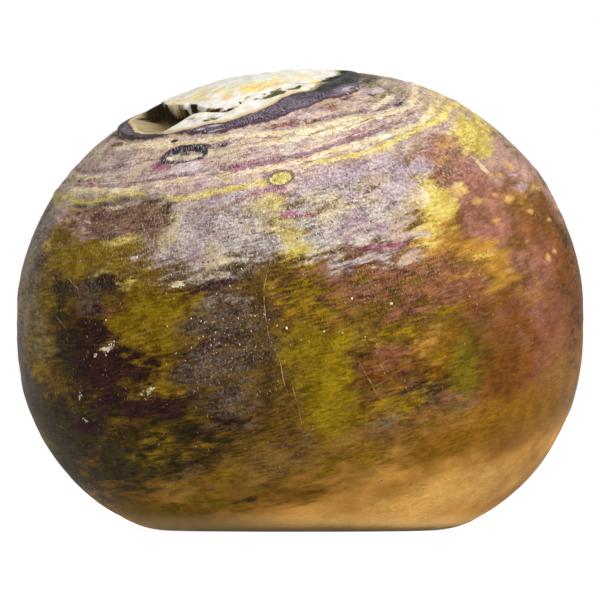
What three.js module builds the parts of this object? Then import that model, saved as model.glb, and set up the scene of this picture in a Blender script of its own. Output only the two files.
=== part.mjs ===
// A rutabaga (swede): one grown root with its leaves broken off at the crown and its taproot
// trimmed away, so that it stands on a small flat base.
// Millimetres, +Z up, front towards -Y. The origin is the middle of the flat base.
import * as THREE from "three";
import { mergeVertices } from "three/addons/utils/BufferGeometryUtils.js";

// Overall size
const WIDTH = 130.2; // side to side, along X
const DEPTH = 124; // front to back, along Y
const CROWN_RISE = 58; // widest level up to the top
const ROOT_DROP = 53.6; // widest level down to where the root would close if it weren't trimmed
const BASE_DROP = 47.7; // widest level down to the flat base
const BASE_ROUNDING = 2.6; // how softly the skin turns into the flat base

// Fullness of the profile: 2 is an ellipse, more is squarer
const UPPER_FULLNESS = 2.1;
const LOWER_FULLNESS = 2.3;
const UPPER_SKEW = 2.8; // the upper half is fuller on the right and thinner on the left by this much

// The growth axis leans to the left and towards the front at the crown
const LEAN_LEFT = 14.6; // degrees
const LEAN_FRONT = 7.7; // degrees

// Crown relief: angles are in degrees from the growth axis, heights in millimetres
const COLLAR_FOOT = 29.5; // where the collar of leaf bases meets the shoulder
const COLLAR_STEP = 0.4; // height of the collar over the shoulder
const CROWN_DISH = 0.35; // how far the broken face sinks inside the collar
const DISH_EDGE = 12; // width of the slope into the broken face
const HOLLOW = { side: -64, polar: 22.3, sideReach: 36, polarReach: 5.2, depth: 3.4 };

// A shallow furrow down the front, and slow waves over the back
const FURROW = { side: -7, polar: 84, sideReach: 9, polarReach: 24, depth: 0.9 };
const BACK_WAVES = { aroundCount: 3, height: 0.8 };

// Mesh: zones down from the crown, each ending at an angle and split into rings
const SIDES = 64;
const ZONES = [
  { end: 44, rings: 20 }, // crown and leaf scars
  { end: 136, rings: 22 }, // body
  { end: 152, rings: 12 }, // turn into the base
  { end: 180, rings: 4 }, // flat base
];
const UPRIGHT_FROM = 50; // the rings tilt with the crown down to here
const UPRIGHT_BY = 136; // and are level from here down

const { clamp, degToRad, euclideanModulo, lerp, smoothstep } = THREE.MathUtils;

// The growth direction at a share of its full lean, with its square directions to front and right
function growthFrame(leanShare) {
  const up = new THREE.Vector3(
    -Math.tan(degToRad(LEAN_LEFT * leanShare)),
    -Math.tan(degToRad(LEAN_FRONT * leanShare)),
    1,
  ).normalize();
  const front = new THREE.Vector3(0, -1, 0);
  front.addScaledVector(up, -front.dot(up)).normalize();
  const right = new THREE.Vector3().crossVectors(up, front);
  return { up, front, right };
}

// Direction at `polar` degrees from the growth axis and `side` degrees round it from the front
function direction(polar, side) {
  const { up, front, right } = growthFrame(1 - smoothstep(polar, UPRIGHT_FROM, UPRIGHT_BY));
  const out = Math.sin(degToRad(polar));
  return new THREE.Vector3()
    .addScaledVector(up, Math.cos(degToRad(polar)))
    .addScaledVector(front, out * Math.cos(degToRad(side)))
    .addScaledVector(right, out * Math.sin(degToRad(side)));
}

// Distance from the middle of the widest level to the untrimmed skin, along a unit direction
function skinRadius(d) {
  const isUpper = d.z >= 0;
  const fullness = isUpper ? UPPER_FULLNESS : LOWER_FULLNESS;
  const across = Math.hypot(d.x / (WIDTH / 2), d.y / (DEPTH / 2));
  const along = Math.abs(d.z) / (isUpper ? CROWN_RISE : ROOT_DROP);
  const skew = isUpper ? UPPER_SKEW * d.x * d.z * d.z : 0;
  return Math.pow(Math.pow(across, fullness) + Math.pow(along, fullness), -1 / fullness) + skew;
}

// The smaller of two lengths, blended over `rounding` where they are close
function roundedMin(a, b, rounding) {
  const share = clamp(0.5 + (0.5 * (b - a)) / rounding, 0, 1);
  return lerp(b, a, share) - rounding * share * (1 - share);
}

// 1 at the middle of an oval dent, down to 0 at its rim
function ovalDent(dent, polar, side) {
  const around = euclideanModulo(side - dent.side + 180, 360) - 180;
  const reach = Math.hypot(around / dent.sideReach, (polar - dent.polar) / dent.polarReach);
  return 1 - smoothstep(reach, 0.2, 1.15);
}

// Width of the collar in degrees: broad at the front right, thin at the front left
function collarWidth(side) {
  return 4.5 + 2 * Math.cos(degToRad(side - 60)) + 1.8 * Math.cos(degToRad(2 * (side - 35)));
}

// Height of the crown's relief over the smooth skin
function crownRelief(polar, side) {
  const lip = COLLAR_FOOT - collarWidth(side);
  const ledge = smoothstep(polar, lip - 1, lip) * (1 - smoothstep(polar, COLLAR_FOOT - 1, COLLAR_FOOT + 1));
  const dish = 1 - smoothstep(polar, lip - DISH_EDGE, lip);
  return COLLAR_STEP * ledge - CROWN_DISH * dish - HOLLOW.depth * ovalDent(HOLLOW, polar, side);
}

function bodyRelief(d, polar, side) {
  const furrow = FURROW.depth * ovalDent(FURROW, polar, side);
  const backShare = smoothstep(d.y, 0.15, 0.8);
  const wave = Math.sin(degToRad(BACK_WAVES.aroundCount * side) + 2 * d.z);
  return BACK_WAVES.height * backShare * wave - furrow;
}

function surfacePoint(polar, side) {
  const d = direction(polar, side);
  let radius = skinRadius(d) + crownRelief(polar, side) + bodyRelief(d, polar, side);
  if (d.z < 0) radius = roundedMin(radius, BASE_DROP / -d.z, BASE_ROUNDING);
  return d.multiplyScalar(radius);
}

// Angles of all rings from the growth axis, without the two poles
function ringAngles() {
  const angles = [];
  let start = 0;
  for (const { end, rings } of ZONES) {
    for (let ring = 1; ring <= rings; ring++) angles.push(lerp(start, end, ring / rings));
    start = end;
  }
  angles.pop();
  return angles;
}

// A closed skin: rings round the growth axis, with one point at each pole
function rootGeometry() {
  const angles = ringAngles();
  const positions = [...surfacePoint(0, 0)];
  for (const polar of angles) {
    for (let s = 0; s < SIDES; s++) positions.push(...surfacePoint(polar, (360 * s) / SIDES));
  }
  positions.push(...surfacePoint(180, 0));

  const vertex = (ring, s) => 1 + ring * SIDES + (s % SIDES);
  const lastRing = angles.length - 1;
  const bottomPole = positions.length / 3 - 1;
  const faces = [];
  for (let s = 0; s < SIDES; s++) {
    faces.push(0, vertex(0, s), vertex(0, s + 1));
    faces.push(bottomPole, vertex(lastRing, s + 1), vertex(lastRing, s));
    for (let ring = 0; ring < lastRing; ring++) {
      faces.push(vertex(ring, s), vertex(ring + 1, s), vertex(ring + 1, s + 1));
      faces.push(vertex(ring, s), vertex(ring + 1, s + 1), vertex(ring, s + 1));
    }
  }
  const geometry = new THREE.BufferGeometry();
  geometry.setAttribute("position", new THREE.Float32BufferAttribute(positions, 3));
  geometry.setIndex(faces);
  return mergeVertices(geometry);
}

// Raises a geometry so that its flat base is at z = 0, centred under its widest extent
function standOnBase(geometry) {
  geometry.computeBoundingBox();
  const { min, max } = geometry.boundingBox;
  return geometry.translate(-(min.x + max.x) / 2, -(min.y + max.y) / 2, -min.z);
}

const skin = new THREE.MeshStandardMaterial({ color: 0x8a6a34, roughness: 0.5, metalness: 0 });
const root = new THREE.Mesh(standOnBase(rootGeometry()), skin);
root.name = "rutabaga_root";

const rutabaga = new THREE.Group();
rutabaga.add(root);
export default rutabaga;
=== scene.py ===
import itertools
import math

import bpy
import numpy as np
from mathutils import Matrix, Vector


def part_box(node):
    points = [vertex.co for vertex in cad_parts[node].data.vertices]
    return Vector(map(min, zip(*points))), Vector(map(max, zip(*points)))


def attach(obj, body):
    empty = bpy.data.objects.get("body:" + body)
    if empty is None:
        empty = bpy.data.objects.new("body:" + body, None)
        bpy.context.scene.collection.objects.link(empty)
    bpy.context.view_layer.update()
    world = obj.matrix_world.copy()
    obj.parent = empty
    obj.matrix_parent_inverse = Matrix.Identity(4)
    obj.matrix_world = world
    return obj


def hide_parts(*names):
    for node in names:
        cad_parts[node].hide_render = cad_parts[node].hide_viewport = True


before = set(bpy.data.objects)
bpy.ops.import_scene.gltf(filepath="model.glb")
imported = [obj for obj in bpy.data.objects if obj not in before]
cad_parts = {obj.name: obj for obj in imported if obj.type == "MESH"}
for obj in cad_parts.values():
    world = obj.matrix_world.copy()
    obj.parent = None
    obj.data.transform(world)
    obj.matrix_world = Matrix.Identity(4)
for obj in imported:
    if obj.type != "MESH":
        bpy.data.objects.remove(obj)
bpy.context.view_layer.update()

# A waxed rutabaga on its flat base, with its front towards -Y. The scene is in metres, while the
# heights of relief are in millimetres and places on the skin are in degrees from the growth axis

lowCorner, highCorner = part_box("rutabaga_root")
rootSize = highCorner - lowCorner
mm = 0.001

print("rutabaga: frame loaded,", [round(side / mm, 1) for side in rootSize], "mm")


def addObject(name, data, place=(0, 0, 0)):
    thing = bpy.data.objects.new(name, data)
    thing.location = place
    bpy.context.scene.collection.objects.link(thing)
    return thing


def aimAtRoot(thing):
    aim = Vector((0, 0, rootSize.z / 2)) - thing.location
    thing.rotation_euler = aim.to_track_quat("-Z", "Y").to_euler()


# Camera

cameraSetup = dict(
    distance=4.5,
    height=0.045,  # low and far away, so the flat base is seen edge on
    viewWidth=0.1378,  # what the frame takes in across the root
    sensorWidth=36.0,
    clipEnd=20,
)


def makeCamera(setup):
    data = bpy.data.cameras.new("camera")
    data.sensor_width = setup["sensorWidth"]
    data.lens = setup["sensorWidth"] * setup["distance"] / setup["viewWidth"]
    data.clip_end = setup["clipEnd"]
    camera = addObject("camera", data, (0, -setup["distance"], setup["height"]))
    aimAtRoot(camera)
    bpy.context.scene.camera = camera


makeCamera(cameraSetup)
print("rutabaga: camera placed")


# Node building

def linear(red, green, blue):
    # a colour given as 0 to 255 on a screen, as the shaders want it
    def one(value):
        share = value / 255
        return share / 12.92 if share <= 0.04045 else ((share + 0.055) / 1.055) ** 2.4
    return (one(red), one(green), one(blue), 1.0)


class NodeBench:
    def __init__(self, tree):
        self.tree = tree

    def add(self, kind, inputs=None, **settings):
        node = self.tree.nodes.new(kind)
        for name, value in settings.items():
            setattr(node, name, value)
        for name, value in (inputs or {}).items():
            self.feed(node.inputs[name], value)
        return node

    def pipe(self, kind, inputs=None, **settings):
        # a node's first output
        return self.add(kind, inputs, **settings).outputs[0]

    def feed(self, socket, value):
        if isinstance(value, bpy.types.NodeSocket):
            self.tree.links.new(value, socket)
        else:
            socket.default_value = value

    def calc(self, operation, *values, clamp=False):
        node = self.add("ShaderNodeMath", operation=operation, use_clamp=clamp)
        for index, value in enumerate(values):
            self.feed(node.inputs[index], value)
        return node.outputs[0]

    def plus(self, first, second, clamp=False):
        return self.calc("ADD", first, second, clamp=clamp)

    def minus(self, first, second):
        return self.calc("SUBTRACT", first, second)

    def times(self, first, second, clamp=False):
        return self.calc("MULTIPLY", first, second, clamp=clamp)

    def swing(self, pattern, width):
        # a pattern from 0 to 1 made into a wander of this width round nothing
        return self.times(self.minus(pattern, 0.5), width)

    def blend(self, share, first, second):
        # a number part of the way from the first to the second
        return self.plus(first, self.times(share, self.minus(second, first)))

    def rise(self, value, low, high, fromValue=0.0, toValue=1.0):
        # a soft step from one value to another
        node = self.add(
            "ShaderNodeMapRange",
            {"Value": value, "From Min": low, "From Max": high, "To Min": fromValue, "To Max": toValue},
            interpolation_type="SMOOTHSTEP",
            clamp=False,
        )
        return node.outputs["Result"]

    def mix(self, share, below, above):
        node = self.add("ShaderNodeMix", data_type="RGBA", clamp_factor=True)
        for index, value in ((0, share), (6, below), (7, above)):
            self.feed(node.inputs[index], value)
        return node.outputs[2]

    def scale(self, colour, factor):
        node = self.add("ShaderNodeVectorMath", {"Vector": colour, "Scale": factor}, operation="SCALE")
        return node.outputs["Vector"]

    def noise(self, place, scale=1.0, detail=2.0, rough=0.5, warp=0.0):
        return self.add(
            "ShaderNodeTexNoise",
            {"Vector": place, "Scale": scale, "Detail": detail, "Roughness": rough, "Distortion": warp},
        ).outputs

    def stored(self, name, output="Fac"):
        # a value kept on the mesh
        return self.add("ShaderNodeAttribute", attribute_name=name).outputs[output]

    def third(self, vector):
        return self.add("ShaderNodeSeparateXYZ", {"Vector": vector}).outputs["Z"]

    def bands(self, value, stops):
        # colours along a value from 0 to 1
        node = self.add("ShaderNodeValToRGB", {"Fac": value})
        ramp = node.color_ramp
        while len(ramp.elements) < len(stops):
            ramp.elements.new(0.5)
        for element, (place, colour) in zip(ramp.elements, stops):
            element.position = place
            element.color = linear(*colour)
        return node.outputs["Color"]

    def close(self, colour, roughness, height, look):
        # the surface, with relief from the height
        relief = {"Height": height, "Strength": look["bumpStrength"], "Distance": look["bumpDepth"]}
        inputs = {
            "Base Color": colour,
            "Roughness": roughness,
            "Specular IOR Level": look["specular"],
            "Normal": self.add("ShaderNodeBump", relief).outputs["Normal"],
        }
        surface = self.add("ShaderNodeBsdfPrincipled", inputs).outputs["BSDF"]
        self.add("ShaderNodeOutputMaterial", {"Surface": surface})


def clearedTree(owner):
    # the emptied node tree of a new material or world
    owner.use_nodes = True
    owner.node_tree.nodes.clear()
    return owner.node_tree


def newGroup(name, treeKind, inputs, outputs):
    # a node group with named inputs and outputs, each given with its kind of socket
    tree = bpy.data.node_groups.new(name, treeKind)
    for direction, sockets in (("INPUT", inputs), ("OUTPUT", outputs)):
        for socketName, kind in sockets.items():
            tree.interface.new_socket(socketName, in_out=direction, socket_type="NodeSocket" + kind)
    bench = NodeBench(tree)
    return bench, bench.add("NodeGroupInput").outputs, bench.add("NodeGroupOutput").inputs


def makeMottleGroup():
    # a pigment's soft weight, broken up along the growth rings and by fine grain
    inputs = dict.fromkeys(("Weight", "Streak", "Grain", "Streak Depth", "Grain Depth", "Softness"), "Float")
    bench, given, result = newGroup("mottledEdge", "ShaderNodeTree", inputs, {"Mask": "Float"})
    streak = bench.swing(given["Streak"], given["Streak Depth"])
    grain = bench.swing(given["Grain"], given["Grain Depth"])
    level = bench.plus(given["Weight"], bench.plus(streak, grain))
    edge = bench.rise(level, bench.minus(0.5, given["Softness"]), bench.plus(0.5, given["Softness"]))
    anyPigment = bench.rise(given["Weight"], 0.0, 0.35)
    bench.feed(result["Mask"], bench.times(edge, anyPigment))
    return bench.tree


mottledEdge = makeMottleGroup()


# The root's form

rootForm = dict(
    widestLevel=0.4521,  # share of the height where the root is widest
    closingDrop=1.1237,  # untrimmed depth under that level, against the trimmed depth
    upperFullness=2.1,
    lowerFullness=2.3,
    baseRounding=2.6 * mm,
    upperSkew=2.8 * mm,  # fuller at the upper right than at the upper left
    leanLeft=14.6,  # degrees, at the crown
    leanFront=7.7,
    uprightFrom=50,  # the rings tilt with the crown down to here
    uprightBy=136,  # and are level from here down
)
meanRadius = 58  # mm, for lengths along the skin

skinMesh = dict(
    columns=448,
    frontCloseness=0.34,  # how much closer the columns are at the front than at the back
    rows=[(14, 12), (52, 92), (112, 66), (136, 17), (152, 14), (180, 10)],  # end angle, rows to there
)

# Lines round the crown: degrees round from the front, then degrees from the growth axis
crownLines = dict(
    capEdge=[
        (-178, 23.5), (-150, 22), (-125, 20), (-100, 17.8), (-80, 17.6), (-63, 17.7), (-50, 18), (-43, 18.2),
        (-37, 19), (-30, 20), (-24, 21.6), (-16, 22.9), (-9, 23.7), (-4, 22.6), (2, 19.8), (10, 17.6),
        (25, 16.2), (36, 17.4), (44, 20.4), (52, 22.4), (62, 23), (80, 23.2), (105, 24.2), (145, 24.2),
    ],
    lipEdge=[
        (-178, 24.8), (-150, 24.8), (-125, 25.2), (-100, 25.4), (-76, 25.7), (-62, 27.7), (-52, 29),
        (-43, 29.2), (-36, 27), (-30, 23.4), (-24, 22.8), (-16, 24), (-9, 24.8), (-4, 23.8), (2, 21),
        (10, 18.6), (25, 17.2), (36, 18.4), (44, 21.4), (52, 23.2), (62, 23.6), (80, 23.8), (105, 24.8),
        (145, 24.8),
    ],
    collarTop=[
        (-178, 25.4), (-150, 25.4), (-125, 25.8), (-100, 26), (-76, 26.2), (-62, 28.2), (-52, 29.5),
        (-43, 30), (-35, 30), (-26, 29.7), (-18, 29), (-10, 29.3), (-1, 28.5), (11, 27.2), (22, 24.9),
        (31, 24.6), (38, 25.6), (51, 24.8), (73, 24.2), (105, 25.2), (145, 25.4),
    ],
    collarFoot=[
        (-178, 28.6), (-125, 28.8), (-90, 28.8), (-74, 29.3), (-58, 30.9), (-49, 31.1), (-37, 30.8),
        (-30, 30.9), (-25, 31.5), (-18, 32.3), (-11, 33), (-6, 32.5), (0, 32.4), (8, 33), (21, 32), (36, 31),
        (44, 31.5), (50, 32.2), (56, 32), (63, 30.6), (68, 29.2), (84, 28), (105, 28), (145, 28.6),
    ],
)

crownRelief = dict(
    hollow=dict(side=-70, reach=46, full=0.45, slope=5.5, depth=3.6),  # at the left, under the broken face
    crack=dict(side=-14, reach=38, full=0.6, depth=0.8),
    capWander=0.5,  # degrees
    lipWander=0.2,
    capRim=dict(place=-0.8, width=1.1, height=0.1),  # degrees past its line, and mm
    fleshLumps=0.3,
    lipHeight=0.25,
    collarHeight=0.42,
    collarShape=dict(flat=0.7, bulge=0.6, rough=0.25),  # shares of that height
    footGroove=dict(place=0.55, width=0.6, depth=0.45),
    hollowTop=(-0.25, 0.55),  # from here on: degrees past a line where each soft edge starts and ends
    faceEnd=(-0.2, 0.3),
    lipStart=(-0.2, 0.6),
    lipEnd=(-0.5, 0.3),
    collarStart=(-0.3, 0.6),
    collarEnd=(-0.35, 0.25),
    flatPart=dict(side=88, reach=32, share=0.85),  # the collar sinks into the skin at the right
)

# Leaf scars: lines round the shoulder, each with its place, its strength and a soft half width in degrees
leafScars = [
    dict(
        pigment="creamLine", halfWidth=1.15, rise=0.16,
        line=[
            (-178, 36), (-130, 35.6), (-90, 35), (-62, 33.6), (-45, 33), (-30, 34), (-15, 34.8), (0, 35.6),
            (10, 37.8), (20, 39.4), (32, 39.8), (44, 41), (52, 39.6), (64, 38.4), (80, 36.8), (110, 36),
            (145, 36),
        ],
        strength=[
            (-178, 0.5), (-90, 0.4), (-62, 0.7), (-48, 1), (-32, 0.9), (-15, 0.8), (0, 0.9), (20, 1),
            (36, 0.7), (44, 0.4), (54, 0.7), (66, 0.4), (80, 0.1), (110, 0.5),
        ],
    ),
    dict(
        pigment="creamLine", halfWidth=0.8, rise=0.24,
        line=[
            (-178, 42), (-130, 41.8), (-95, 42.4), (-75, 42.2), (-56, 41.8), (-40, 41.4), (-22, 39.8),
            (-8, 40), (6, 40.4), (14, 41), (24, 42), (34, 42.2), (44, 42.8), (56, 44), (66, 43), (80, 40.6),
            (95, 40.4), (120, 41.6), (150, 42),
        ],
        strength=[
            (-178, 0.6), (-95, 0.5), (-62, 0.8), (-46, 0.3), (-30, 0), (-12, 0.4), (0, 0.4), (10, 0.9),
            (30, 1.1), (58, 1.1), (75, 0.7), (95, 0.6), (140, 0.5),
        ],
    ),
    dict(
        pigment="creamLine", halfWidth=0.9, rise=0.16,
        line=[
            (-178, 45.6), (-120, 45.4), (-60, 45.6), (-42, 45.8), (-30, 45.4), (-10, 47), (10, 47.4),
            (25, 47.6), (40, 48.2), (55, 49), (70, 47), (90, 46), (125, 45.6),
        ],
        strength=[
            (-178, 0.4), (-90, 0.4), (-62, 0.9), (-40, 0.8), (-24, 0.4), (-6, 0.5), (14, 0.8), (36, 0.9),
            (60, 1), (74, 0.4), (95, 0.4), (140, 0.5),
        ],
    ),
    dict(
        pigment="yellowLine", halfWidth=0.85, rise=0.3,
        line=[
            (-178, 49.2), (-130, 48.8), (-90, 47.6), (-74, 46.8), (-58, 48), (-46, 47), (-34, 48),
            (-22, 50.7), (-10, 50.9), (2, 51), (14, 49.4), (24, 50), (36, 50.6), (50, 50.2), (64, 50.4),
            (78, 49.2), (92, 50), (120, 50.2), (150, 49.6),
        ],
        strength=[
            (-178, 0.7), (-90, 0.9), (-60, 0.9), (-42, 0.9), (-33, 0.2), (-24, 0.9), (-8, 1.1), (2, 0.9),
            (12, 0.3), (24, 1), (50, 1.1), (90, 0.9), (140, 0.7),
        ],
    ),
    dict(
        pigment="mauveLine", halfWidth=0.8, rise=-0.16,
        line=[
            (-178, 44), (-110, 44), (-70, 43.6), (-46, 44), (-20, 44.4), (0, 45.4), (20, 45.8), (40, 46),
            (56, 46.4), (80, 44), (125, 44),
        ],
        strength=[
            (-178, 0.6), (-60, 0.5), (-36, 0.7), (-10, 0.6), (10, 0.8), (36, 1), (54, 0.8), (72, 0),
            (95, 0.2), (130, 0.6),
        ],
    ),
    dict(
        pigment="mauveLine", halfWidth=0.9, rise=-0.14,
        line=[
            (-178, 38.8), (-110, 39), (-70, 40.6), (-46, 38.6), (-20, 37.4), (4, 38.6), (20, 37), (36, 38.4),
            (46, 40.4), (58, 41.6), (70, 40.6), (110, 38.8),
        ],
        strength=[
            (-178, 0.6), (-80, 0.5), (-68, 0.9), (-52, 0.4), (-20, 0.2), (4, 0.4), (24, 0.5), (40, 0.6),
            (50, 1), (62, 1), (74, 0.2), (120, 0.6),
        ],
    ),
]

# Bud scars, and swellings where leaf bases were
budScars = [
    dict(name="largeBud", side=-24.5, polar=38.2, acrossMm=4.9, downMm=2.9, height=0.45),
    dict(name="smallBud", side=4.8, polar=50.6, acrossMm=2.9, downMm=1.9, height=0.32),
]

# rim, heart, and the grooves inside and outside the rim: share of the height, reach and half width
budProfile = [(1.0, 1.0, 0.22), (0.8, 0.0, 0.4), (-0.8, 0.68, 0.16), (-0.5, 1.4, 0.2)]

swellingShape = dict(edge=(0.2, 1.05), groove=(1.12, 0.15), grooveShare=0.3)
budSwellings = [
    dict(side=25, polar=34.8, acrossMm=4.6, downMm=2.4, height=0.45),
    dict(side=61, polar=35.4, acrossMm=4.8, downMm=2.3, height=0.45),
    dict(side=-66, polar=33.4, acrossMm=5, downMm=2.2, height=0.3),
    dict(side=128, polar=36, acrossMm=6, downMm=2.8, height=0.5),
    dict(side=-150, polar=34, acrossMm=6, downMm=2.6, height=0.45),
]

# Larger shapes of the body
ledge = dict(
    side=-52, reach=26, full=0.7, polar=47.3, wave=1.1, height=0.7, rim=0.25,
    rimPlace=(-1.2, 1.2), drop=(-0.3, 0.5), comeback=(1, 9),  # degrees below the ledge
)
furrow = dict(side=-6, polar=84, sideReach=8, polarReach=26, depth=0.9)
backWaves = dict(aroundCount=3, height=0.8)
bodyLumps = dict(wide=0.16, broad=0.22, streak=0.1, wideStart=(30, 60), bellyStart=(45, 65))
crownSettle = dict(side=65, sideReach=55, polar=28, polarReach=10, depth=0.6)
fleshRise = dict(side=30, sideReach=60, polar=11, polarReach=8, height=0.15)
taproot = dict(x=12 * mm, y=6.5 * mm, radius=8.5 * mm, depth=1.1 * mm, outOfReach=9)
taprootDent = dict(edge=(0.75, 1.05), dip=0.75, heart=0.45, heartReach=0.35, halo=0.12, haloEdge=(1.0, 1.5))

# Slow random waves: cell across, as a share of the root's radius, and seed
wobbles = dict(wide=(0.42, 11), broad=(0.13, 12), otherBroad=(0.11, 16), fine=(0.035, 13))
streakWobble = (np.array([0.22, 0.22, 0.03]), 15)


def softStep(value, low, high):
    share = np.clip((value - low) / (high - low), 0, 1)
    return share * share * (3 - 2 * share)


def hump(value, centre, halfWidth):
    # 1 in the middle, falling smoothly to nothing
    return np.exp(-(((value - centre) / halfWidth) ** 2))


def sideGap(side, centre):
    return (side - centre + 180) % 360 - 180


def wavyField(points, cell, seed):
    # smooth random values from -1 to 1, about one cell across
    table = np.random.default_rng(seed).uniform(-1, 1, (32, 32, 32))
    place = points / cell + 500
    corner = np.floor(place).astype(int)
    share = place - corner
    share = share**3 * (share * (share * 6 - 15) + 10)
    total = np.zeros(points.shape[:-1])
    for step in itertools.product((0, 1), repeat=3):
        weight = np.prod(np.where(step, share, 1 - share), axis=-1)
        index = (corner + step) % 32
        total += weight * table[index[..., 0], index[..., 1], index[..., 2]]
    return total


def closedLine(points, side):
    # a smooth closed line through the points, read at each side angle
    sides = np.array([p[0] for p in points], float)
    polars = np.array([p[1] for p in points], float)
    count = len(points)
    after = np.searchsorted(sides, side, side="right") % count
    before = (after - 1) % count
    gap = (sides[after] - sides[before]) % 360
    share = ((side - sides[before]) % 360) / gap
    slope = (np.roll(polars, -1) - np.roll(polars, 1)) / ((np.roll(sides, -1) - np.roll(sides, 1)) % 360)
    cube, square = share**3, share**2
    return (
        (2 * cube - 3 * square + 1) * polars[before]
        + (cube - 2 * square + share) * gap * slope[before]
        + (3 * square - 2 * cube) * polars[after]
        + (cube - square) * gap * slope[after]
    )


def skinAngles(setup):
    polars = []
    start = 0
    for end, count in setup["rows"]:
        polars += [start + (end - start) * (row + 1) / count for row in range(count)]
        start = end
    turn = np.linspace(-math.pi, math.pi, setup["columns"], endpoint=False)
    sides = np.degrees(turn - setup["frontCloseness"] * np.sin(turn))
    polar, side = np.meshgrid(np.array(polars[:-1]), sides, indexing="ij")
    return polar, side


def growthFrame(leanShare, form):
    # the growth axis at a share of its full lean, with its square directions to front and right
    up = np.stack(
        [
            -np.tan(np.radians(form["leanLeft"] * leanShare)),
            -np.tan(np.radians(form["leanFront"] * leanShare)),
            np.ones_like(leanShare),
        ],
        axis=-1,
    )
    up /= np.linalg.norm(up, axis=-1, keepdims=True)
    front = np.array([0.0, -1.0, 0.0]) + up[..., 1:2] * up
    front /= np.linalg.norm(front, axis=-1, keepdims=True)
    return up, front, np.cross(up, front)


def wayAt(polar, side, axes):
    # the direction at those angles from the growth axis and round it
    up, front, right = axes
    polar, side = np.radians(polar)[..., None], np.radians(side)[..., None]
    return np.cos(polar) * up + np.sin(polar) * (np.cos(side) * front + np.sin(side) * right)


def anglesOf(way, axes):
    # degrees from the growth axis and round it
    up, front, right = axes
    polar = np.degrees(np.arccos(np.clip(way @ up, -1, 1)))
    return polar, np.degrees(np.arctan2(way @ right, way @ front))


crownAxes = growthFrame(1.0, rootForm)


def plainRadius(way, form):
    # distance to the smooth untrimmed skin, from the middle of the widest level
    rise = rootSize.z * (1 - form["widestLevel"])
    drop = rootSize.z * form["widestLevel"] * form["closingDrop"]
    upper = way[..., 2] >= 0
    fullness = np.where(upper, form["upperFullness"], form["lowerFullness"])
    across = np.hypot(way[..., 0] / (rootSize.x / 2), way[..., 1] / (rootSize.y / 2))
    along = np.abs(way[..., 2]) / np.where(upper, rise, drop)
    skew = form["upperSkew"] * way[..., 0] * np.where(upper, way[..., 2], 0) ** 2
    return (across**fullness + along**fullness) ** (-1 / fullness) + skew


def skinPlace(side, polar, form):
    # about where the skin is at those angles
    way = wayAt(polar, side, crownAxes)
    return way * plainRadius(way, form) + np.array([0, 0, rootSize.z * form["widestLevel"]])


def ovalReach(polar, side, spot):
    # 0 in the middle of an oval spot and 1 at its rim
    across = np.radians(sideGap(side, spot["side"])) * np.sin(np.radians(spot["polar"])) * meanRadius
    down = np.radians(polar - spot["polar"]) * meanRadius
    return np.hypot(across / spot["acrossMm"], down / spot["downMm"])


def sideShare(side, spot):
    # 1 round the middle of a stretch of the crown, falling to nothing at its ends
    return 1 - softStep(np.abs(sideGap(side, spot["side"])), spot["reach"] * spot["full"], spot["reach"])


def swell(polar, side, spot):
    around = hump(sideGap(side, spot["side"]), 0, spot["sideReach"])
    return around * hump(polar, spot["polar"], spot["polarReach"])


def hollowHeights(polar, side, lines, wobble):
    # the broken face, the hollow and the crack beside it
    setup = crownRelief
    cap = polar - lines["capEdge"] - setup["capWander"] * wobble["fine"]
    lip = polar - lines["lipEdge"] - setup["lipWander"] * wobble["fine"]
    hollow, crack = setup["hollow"], setup["crack"]
    hollowShare = sideShare(side, hollow)
    lipSlope = softStep(lip, -hollow["slope"] * hollowShare - 0.5, 0.5)
    inside = softStep(cap, *setup["hollowTop"]) * (1 - lipSlope)
    height = -inside * (hollow["depth"] * hollowShare + crack["depth"] * sideShare(side, crack))
    flesh = 1 - softStep(cap, *setup["faceEnd"])
    height += flesh * setup["fleshLumps"] * (wobble["broad"] + 0.6 * wobble["fine"])
    rim = setup["capRim"]
    height += rim["height"] * hump(cap, rim["place"], rim["width"]) * hollowShare
    return height, lip


def crownHeights(polar, side, lines, wobble):
    setup = crownRelief
    height, lip = hollowHeights(polar, side, lines, wobble)
    top = polar - lines["collarTop"]
    foot = polar - lines["collarFoot"]
    lipFlesh = softStep(lip, *setup["lipStart"]) * (1 - softStep(top, *setup["lipEnd"]))
    height += setup["lipHeight"] * lipFlesh * (1 + wobble["fine"])
    flatPart = setup["flatPart"]
    raised = 1 - flatPart["share"] * hump(sideGap(side, flatPart["side"]), 0, flatPart["reach"])
    collar = raised * softStep(top, *setup["collarStart"]) * (1 - softStep(foot, *setup["collarEnd"]))
    across = np.clip(top / np.maximum(lines["collarFoot"] - lines["collarTop"], 0.5), 0, 1)
    shape = setup["collarShape"]
    bulge = shape["flat"] + shape["bulge"] * np.sin(math.pi * across) + shape["rough"] * wobble["streak"]
    height += setup["collarHeight"] * collar * bulge
    groove = setup["footGroove"]
    grooved = raised * hump(foot, groove["place"], groove["width"])
    return height - groove["depth"] * grooved * (0.7 + 0.4 * wobble["broad"])


def scarWeight(scar, polar, side):
    strength = np.maximum(closedLine(scar["strength"], side), 0)
    return strength * hump(polar, closedLine(scar["line"], side), scar["halfWidth"])


def nearestScar(pigment, polar, side):
    # distance below the nearest scar line of one pigment, in its half widths, and its strength
    scars = [scar for scar in leafScars if scar["pigment"] == pigment]
    offsets = np.stack([(polar - closedLine(scar["line"], side)) / scar["halfWidth"] for scar in scars])
    strengths = np.stack([np.maximum(closedLine(scar["strength"], side), 0) for scar in scars])
    nearest = np.abs(offsets).argmin(axis=0)[None]
    offset = np.take_along_axis(offsets, nearest, axis=0)[0]
    return np.clip(offset, -4, 4), np.take_along_axis(strengths, nearest, axis=0)[0]


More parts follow.
